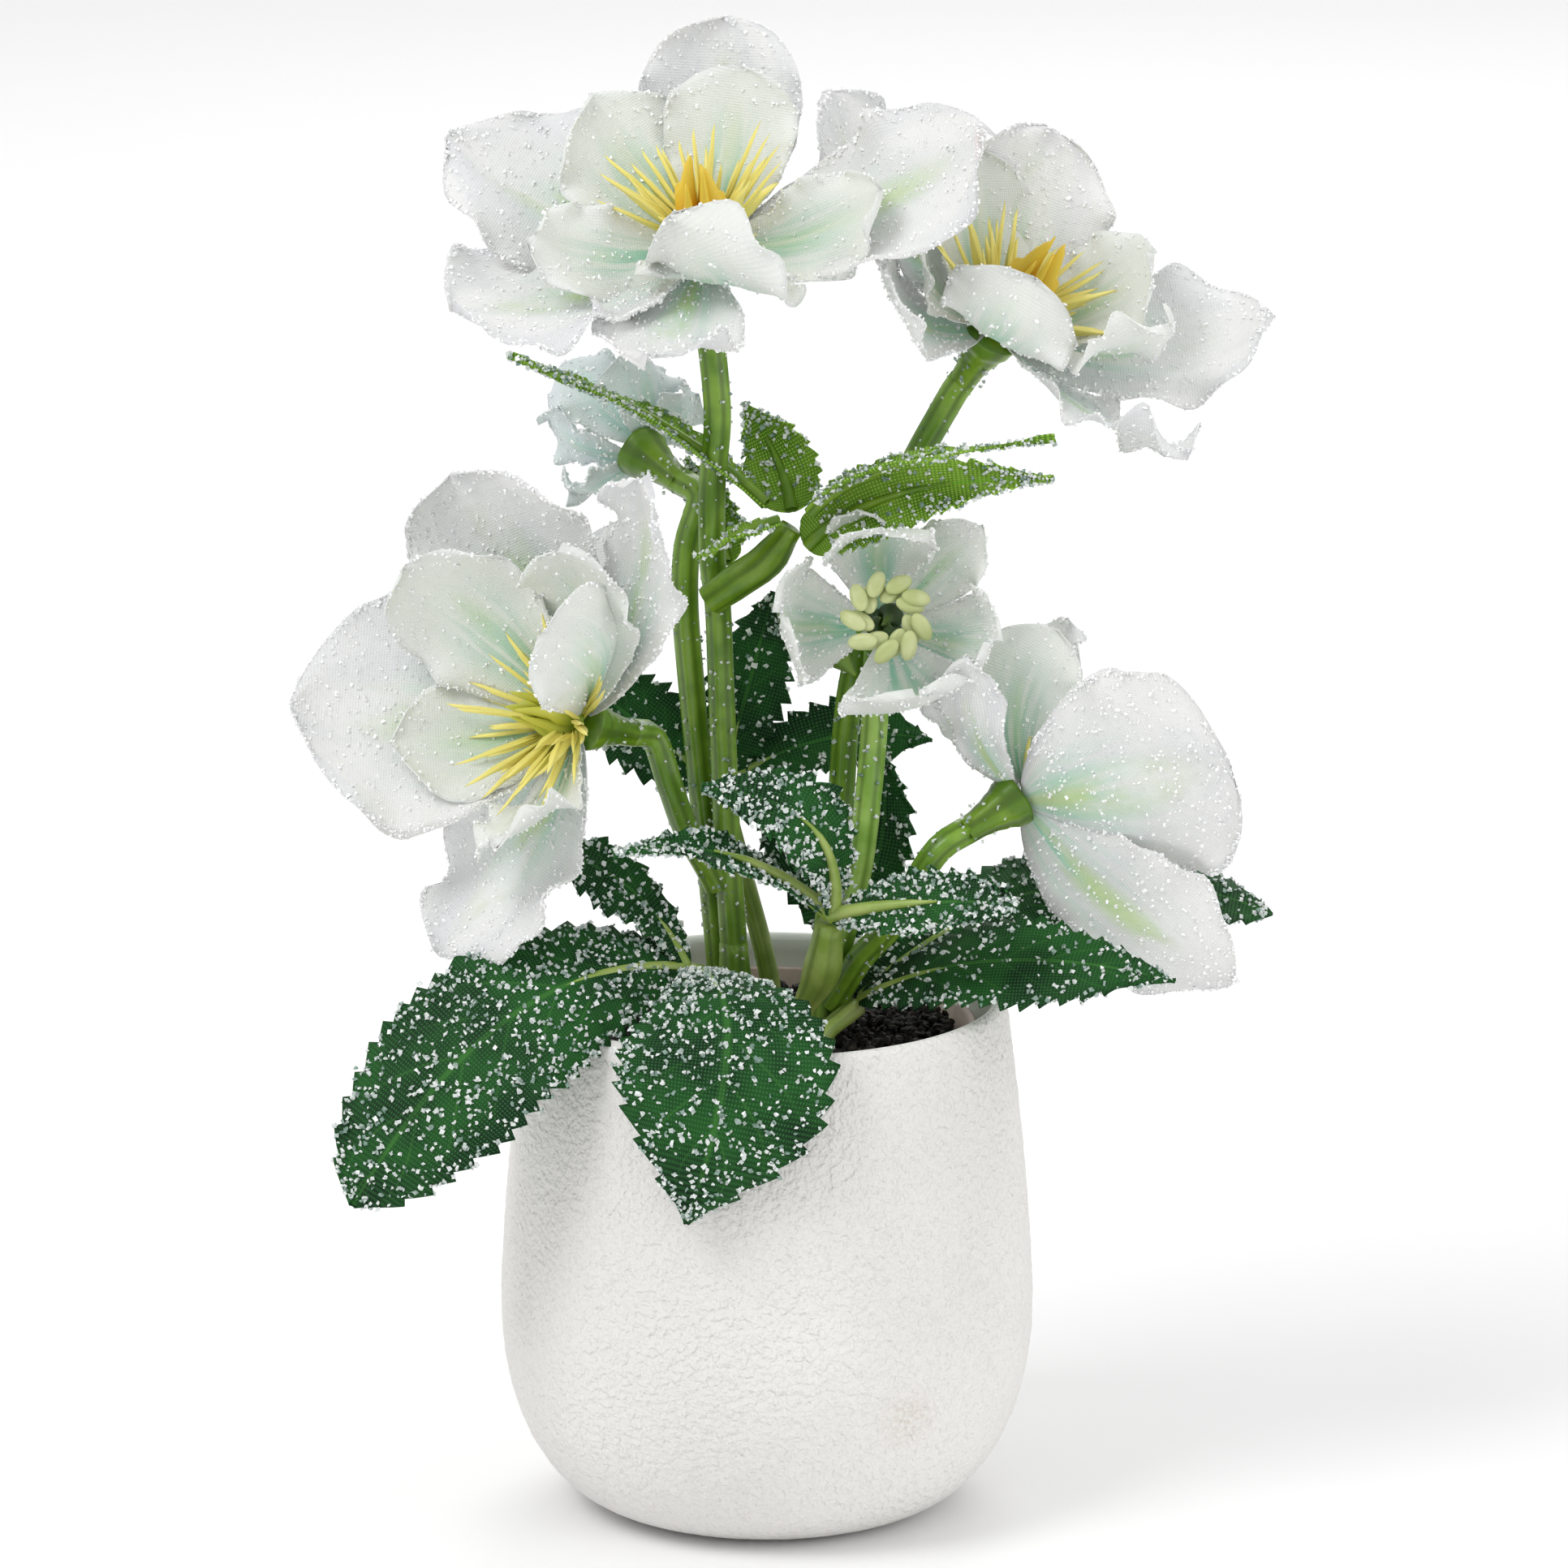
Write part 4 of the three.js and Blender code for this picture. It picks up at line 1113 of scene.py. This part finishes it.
# %% Receptacles
def build_receptacle(name, flower):
    neck = SHORT_NECK.get(name, RECEPTACLE["length"])
    bm = bmesh.new()
    points = [above(flower, h) for h in (-neck - 0.1, -neck * 0.6, -neck * 0.25, 0.5)]
    add_rod(bm, points, RECEPTACLE["radii"], sides=24, ridge=0.03, pitch=0.6)
    bmesh.ops.recalc_face_normals(bm, faces=bm.faces)
    node = f"{name}_receptacle"
    finish_piece(f"{name}_cup", mesh_from(bm, node), [RECEPTACLE_PLASTIC], [node])
    return rod_frost(points, 2.8, stem_rng, 4.5, 0.3)


cup_grains = []
for name, flower in FLOWERS.items():
    cup_grains += build_receptacle(name, flower)
strew_frost("receptacle_frost", cup_grains, LEAF_FROST)


# %% Filaments
def spike_template(bend, widths=None, sides=6):
    """A bent spike one unit tall that tapers to its tip and leans along +X as it rises."""
    bm = bmesh.new()
    points = [Vector((bend * t * t, 0, t)) for t in (0, 0.25, 0.5, 0.75, 1)]
    widths = widths or [0.34, 0.4, 0.4, 0.66, 0.12]
    add_rod(bm, points, [w / MM for w in widths], sides=sides, ridge=0, pitch=0.16 / MM)
    bmesh.ops.recalc_face_normals(bm, faces=bm.faces)
    return bm


def spoke(flower, angle):
    first = Vector((1, 0, 0)).cross(flower["axis"]).normalized()
    return Quaternion(flower["axis"], angle) @ first


def stand(foot, axis, out, height, girth):
    """The place of a template spike: its height along the axis, its bend away from out."""
    out = (out - axis * out.dot(axis)).normalized() * -1
    side = axis.cross(out).normalized()
    turn = Matrix((axis.cross(side) * -1, side, axis)).transposed()
    shape = Matrix.Diagonal((girth, girth, height)).to_3x3()
    return Matrix.Translation(foot) @ (turn @ shape).to_4x4()


FILAMENTS = 52
GOLDEN_TURN = 0.381966
FILAMENT_GIRTH, STYLE_GIRTH = 0.62, 3.4
CROWN_FOOT = FIRST_WHORL + 2 * WHORL_STEP


def build_stamens(name, flower):
    rng = random.Random(f"{name} stamens")
    foot = above(flower, CROWN_FOOT - 1.0)
    places, pick = [], []
    for i in range(FILAMENTS):
        out = spoke(flower, 2 * math.pi * (i * GOLDEN_TURN))
        lean = rng.uniform(0.5, 1.9)
        axis = (flower["axis"] + out * lean).normalized()
        start = foot + out * (rng.uniform(1.6, 2.9) * MM)
        towards_front = name.startswith("top") and out.y < -0.25
        reach = 0.5 if towards_front else 0.4 if name == "right" else 1
        height = rng.uniform(7.0, 12.5) * reach * MM
        places.append(stand(start, axis, out, height, FILAMENT_GIRTH * MM))
        pick.append(rng.randrange(3))
    templates = [spike_template(b) for b in (1.6, 3.6, -1.4)]
    mesh = tile(f"{name}_filaments", templates, places, pick)
    finish_piece(f"{name}_filaments", mesh, [STAMEN_PLASTIC], [f"{name}_stamens"])


for name in ("top_left", "top_right", "left", "right"):
    build_stamens(name, FLOWERS[name])


# %% Pistils
def build_pistil(name, flower, plastic, styles, tall):
    rng = random.Random(f"{name} pistil")
    foot = above(flower, CROWN_FOOT - 1.4)
    places, pick = [], []
    for i in range(styles):
        out = spoke(flower, 2 * math.pi * i / styles + 0.4)
        axis = (flower["axis"] + out * rng.uniform(0.05, 0.22)).normalized()
        start = foot + out * (1.2 * MM)
        height = tall * rng.uniform(0.8, 1.05) * MM
        places.append(stand(start, axis, out, height, STYLE_GIRTH * MM))
        pick.append(i % 2)
    pod = [0.55, 0.62, 0.26, 0.15, 0.05]
    templates = [spike_template(bend, pod, 12) for bend in (0.3, 0.9)]
    mesh = tile(f"{name}_pod", templates, places, pick)
    finish_piece(f"{name}_pod", mesh, [plastic], [f"{name}_pistil"])


for name in ("top_left", "top_right"):
    build_pistil(name, FLOWERS[name], ORANGE_PLASTIC, 5, 16)
for name in ("left", "right"):
    build_pistil(name, FLOWERS[name], GREEN_PLASTIC, 5, 13)


# %% Pollen sacs of the small flower
def build_small_heart():
    flower = FLOWERS["small"]
    rng = random.Random(8)
    sac = bmesh.new()
    bmesh.ops.create_icosphere(sac, subdivisions=3, radius=1)
    for point in sac.verts:
        point.co.y *= 1 - 0.25 * smooth(abs(point.co.x), 0.3, 0)
    places = []
    for level, (count, radius, height) in enumerate(((9, 5.2, 9.4), (7, 3.9, 8.2))):
        for i in range(count):
            out = spoke(flower, 2 * math.pi * (i + 0.4 * level) / count + rng.uniform(-0.1, 0.1))
            spot = above(flower, height + rng.uniform(-0.5, 0.5)) + out * (radius * MM)
            around = flower["axis"].cross(out).normalized()
            axis = (flower["axis"] * 0.4 - out + around * 0.9).normalized()
            side = flower["axis"].cross(axis).normalized()
            turn = Matrix((side, axis.cross(side), axis)).transposed()
            shape = Matrix.Diagonal((1.3 * MM, 0.75 * MM, 2.3 * MM)).to_3x3()
            places.append(Matrix.Translation(spot) @ (turn @ shape).to_4x4())
    mesh = tile("small_sacs", [sac], places, [0] * len(places))
    finish_piece("small_sacs", mesh, [SAC_PLASTIC], ["small_stamens"])
    build_pistil("small", flower, DARK_HEART_PLASTIC, 3, 6)


build_small_heart()

# %% [markdown]
# ## Palmate leaves
#
# A christmas rose leaf is a hand of leaflets that meet at a hub. Each leaflet is a blade with
# forward-pointing saw teeth, thickly frosted. A lime rib of moulded plastic runs on from the
# stalk along the midrib of each leaflet.

# %% Leaves as named values
LEAVES = {
    "front": {
        "hub": (-11.7, -13, 86.5),
        "stalk": [(-3, -6, 64), (-5, -7, 77), (-8.5, -9.5, 83.5)],
        "rib_side": -1,
        "frost": 135,
        "leaflets": [
            dict(
                via=(-26, -13, -4), tip=(-49.5, -21, -31), width=29, roll=-42, cup=-0.12,
                outline="broad",
            ),
            dict(via=(6, -24.5, -4), tip=(0, -30, -31), width=34, cup=-0.06, outline="spade"),
            dict(via=(-11, 3, 13), tip=(-27, 4, 17), width=13, roll=-30, cup=-0.1),
        ],
    },
    "centre": {
        "hub": (9.4, -15, 94.7),
        "stalk": [(2.5, -9, 64), (4, -9.5, 76), (8, -12, 85)],
        "rib_side": 1,
        "frost": 190,
        "leaflets": [
            dict(via=(-3, -4, 15), tip=(-19, -8, 22), width=15, facing=(0.3, -0.8, 0.5)),
            dict(via=(-15, -6, 11), tip=(-32, -12, 13), width=9, facing=(0, -0.4, 0.9)),
            dict(via=(14, -7, 4), tip=(28, -12, 5), width=13, facing=(0, -0.7, 0.7)),
        ],
    },
    "back": {
        "hub": (-7, 14, 107.6),
        "stalk": [(1, 9, 64), (0.5, 10, 78), (-3.5, 12, 94)],
        "rib_side": -1,
        "frost": 50,
        "leaflets": [
            dict(via=(-11, 2, 8), tip=(-21, 3, 16), width=17, facing=(0, -0.8, 0.6)),
            dict(via=(4, 3, 14), tip=(8, 5, 29), width=14, facing=(0, -1, 0.2)),
            dict(via=(16, 1, 7), tip=(32, 0, 7), width=13, facing=(0, -0.8, 0.6)),
        ],
    },
    "right": {
        "hub": (13.5, -6, 79.5),
        "stalk": [(5, -14, 64), (7, -13, 74)],
        "rib_side": -1,
        "frost": 70,
        "leaflets": [
            dict(via=(21, -11, 9), tip=(47, -19, 8), width=18, facing=(0, -0.6, 0.8), cup=-0.08),
            dict(
                via=(30, 13, 14), tip=(63, 16, 9), width=20, facing=(0, -0.5, 0.8), cup=-0.08,
                outline="broad",
            ),
        ],
    },
    "tall": {
        "hub": (10, 10, 83),
        "stalk": [(9, 9, 64), (9.4, 9.4, 74)],
        "rib_side": -1,
        "frost": 70,
        "leaflets": [
            dict(via=(-4, 4, 14), tip=(-12, 8, 20), width=14, facing=(0, -1, 0.3)),
            dict(via=(7, 5, 14), tip=(7, 9, 29), width=11, facing=(0, -1, 0.3)),
        ],
    },
}


print("leaflets:", sum(len(leaf["leaflets"]) for leaf in LEAVES.values()))


# %% Leaf blades, ribs and frost
LEAF_THICKNESS = 0.35
RIB_LIFT = 0.35
LEAF_TOOTH = {"every": 3.1, "deep": 2.0}


def build_leaf(name, leaf):
    rng = random.Random(f"leaf {name}")
    hub = mm(leaf["hub"])
    cloth = new_cloth()
    ribs = bmesh.new()
    top = hub - UP * (1.0 * MM)
    swell = [1.5, 1.6, 1.8, 2.9, 2.1] if name == "centre" else [1.5, 1.5, 1.5, 1.6]
    add_rod(ribs, [*map(mm, leaf["stalk"]), top], swell, sides=12)
    grains = []
    for k, form in enumerate(leaf["leaflets"]):
        shape = dict(form)
        via, tip = hub + mm(shape.pop("via")), hub + mm(shape.pop("tip"))
        facing = Vector(shape.pop("facing", UP)).normalized()
        length = (tip - hub).length / MM
        shape.setdefault("outline", "leaflet")
        surface = blade(
            hub, tip, facing, via=via, ruffle=0.7, teeth=round(length / LEAF_TOOTH["every"]),
            tooth=LEAF_TOOTH["deep"], seed=k * 2.3 + len(name), **shape
        )
        lay_cloth(cloth, surface, length, form["width"], along=84, across=14, number=k + 0.5)
        count = int(leaf["frost"] * length * form["width"] / 100)
        grains += frost_on(surface, rng, count, 0.35, area=(0.06, 0.99), edge_share=0.06, thick=0.2)
        midrib = []
        for i in range(9):
            spot, up = surface_normal(surface, 0.01 + 0.07 * i, 0)
            midrib.append(spot + up * (leaf["rib_side"] * RIB_LIFT * MM))
        stout = 1.4 if name == "centre" else 1
        add_rod(ribs, midrib, [stout * r for r in (0.95, 0.75, 0.5, 0.15)], sides=8, ridge=0)
    bmesh.ops.recalc_face_normals(ribs, faces=ribs.faces)
    mesh = mesh_from(ribs, f"{name}_stalk")
    finish_piece(f"{name}_leaf_stalk", mesh, [STALK_PLASTIC], [f"stalk_{name}"])
    finish_piece(
        f"{name}_leaf_cloth", mesh_from(cloth[0], f"{name}_leaf"), [LEAF_CLOTH],
        [f"leaf_{name}"], thickness=LEAF_THICKNESS * MM,
    )
    strew_frost(f"{name}_leaf_frost", grains, LEAF_FROST)


for name, leaf in LEAVES.items():
    build_leaf(name, leaf)

# %% [markdown]
# ## Bracts
#
# Half way up the tall left stem a hub carries six slender yellow-green bracts, with finer
# teeth and raised midribs. The midribs, and a dark wedge under the small flower, are in the
# hub's own plastic.

# %% Bracts as named values
BRACT_HUB = [(-8.5, -3.4, 140.5), (-4, -4.5, 144), (0, -5, 147), (3.6, -5.5, 152)]
BRACTS = {
    "bract_left_long": dict(base=(0, -3, 154.5), via=(-17.5, 4, 166.5), tip=(-38.5, 6, 175.5), width=9),
    "bract_up": dict(
        base=(3.8, 1, 153), via=(1.5, 6, 160), tip=(-3.5, 11, 167.5), width=12, facing=(0, -1, 0.2)
    ),
    "bract_right_upper": dict(base=(6, -9, 155), via=(18, -11, 162.5), tip=(42.5, -16, 167.5), width=7),
    "bract_right_lower": dict(
        base=(6, -6, 149), via=(20, -7, 157.5), tip=(42.5, -6, 159.5), width=12, facing=(0, -0.9, 0.4)
    ),
    "bract_small": dict(base=(2, -9, 153.5), via=(-4, -11, 152), tip=(-10.5, -13, 149), width=7),
    "bract_back": dict(
        base=(-6, 9, 143), via=(-8.5, 14, 150), tip=(-12, 16, 158), width=9, facing=(0, -1, 0.1)
    ),
}
BRACT_TOOTH = {"every": 2.4, "deep": 1.0}
BRACT_FROST = 130
WEDGE = dict(base=(2.5, -3.5, 141), tip=(13.2, -1.5, 128.5), length=17, width=7, thickness=0.8)
print("bracts:", len(BRACTS))


# %% Cut and frost the bracts
def build_bracts():
    hub_bm = bmesh.new()
    add_rod(hub_bm, [mm(p) for p in BRACT_HUB], [2.4, 2.7, 2.7, 1.8], sides=16)
    rng = random.Random(21)
    grains = []
    for k, (node, form) in enumerate(BRACTS.items()):
        facing = Vector(form.get("facing", UP)).normalized()
        base, via, tip = (mm(form[key]) for key in ("base", "via", "tip"))
        length = (tip - base).length / MM
        surface = blade(
            base, tip, facing, via=via, width=form["width"], outline="bract", cup=0.2,
            ruffle=0.5, teeth=round(length / BRACT_TOOTH["every"]), tooth=BRACT_TOOTH["deep"],
            seed=k * 3.1,
        )
        cloth = new_cloth()
        lay_cloth(cloth, surface, length, form["width"], along=90, across=12, number=k)
        mesh = mesh_from(cloth[0], node)
        finish_piece(
            f"{node}_cloth", mesh, [BRACT_CLOTH], [node], thickness=LEAF_THICKNESS * MM
        )
        count = int(BRACT_FROST * length * form["width"] / 100)
        grains += frost_on(surface, rng, count, 0.32, edge_share=0.2)
        midrib = []
        for i in range(9):
            spot, up = surface_normal(surface, 0.01 + 0.085 * i, 0)
            side = 1 if up.y < 0 else -1
            midrib.append(spot + up * (side * RIB_LIFT * MM))
        add_rod(hub_bm, midrib, [1.0, 0.85, 0.5, 0.15], sides=8, ridge=0)
    bmesh.ops.recalc_face_normals(hub_bm, faces=hub_bm.faces)
    mesh = mesh_from(hub_bm, "bract_hub")
    finish_piece("bract_hub_and_ribs", mesh, [RECEPTACLE_PLASTIC], ["bract_hub"])
    strew_frost("bract_frost", grains, LEAF_FROST)


build_bracts()


# %% Dark wedge
def build_wedge():
    cloth = new_cloth()
    surface = blade(
        mm(WEDGE["base"]), mm(WEDGE["tip"]), Vector((0, -1, 0)), width=WEDGE["width"], outline="bract"
    )
    lay_cloth(cloth, surface, WEDGE["length"], WEDGE["width"], along=30, across=8)
    mesh = mesh_from(cloth[0], "dark_wedge")
    finish_piece(
        "dark_wedge", mesh, [RECEPTACLE_PLASTIC], ["wedge_small"],
        thickness=WEDGE["thickness"] * MM,
    )


build_wedge()

# %% [markdown]
# ## The filler
#
# The cast filler in the inner pot is hidden under the soil. Its solid is right as it is, so
# it stays and only gets a rough finish of its own.


# %% Filler finish
def cast_filler():
    material, tree, shader = new_material("cast filler", Roughness=0.9)
    colour = mix_colour(tree, grain_noise(tree, 300.0), (0.42, 0.40, 0.37), (0.62, 0.60, 0.56))
    paint(tree, shader, colour)
    bump(tree, shader, grain_noise(tree, 900.0), 0.5, 0.0003)
    return material


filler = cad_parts["filler"]
filler.data.materials.clear()
filler.data.materials.append(cast_filler())
print("filler finished:", len(filler.data.polygons), "faces")

# %% [markdown]
# ## The floor
#
# A plain pale floor, wide enough to fill the view.


# %% Floor
def build_floor():
    bm = bmesh.new()
    bmesh.ops.create_grid(bm, x_segments=2, y_segments=2, size=8)
    floor = bpy.data.objects.new("floor", mesh_from(bm, "floor"))
    bpy.context.scene.collection.objects.link(floor)
    material, tree, shader = new_material("pale floor", Roughness=0.9, Specular_IOR_Level=0.1)
    colour = mix_colour(tree, grain_noise(tree, 3.0), (0.90, 0.90, 0.90), (0.92, 0.92, 0.92))
    paint(tree, shader, colour)
    floor.data.materials.append(material)
    floor.location.z = -0.2 * MM


build_floor()
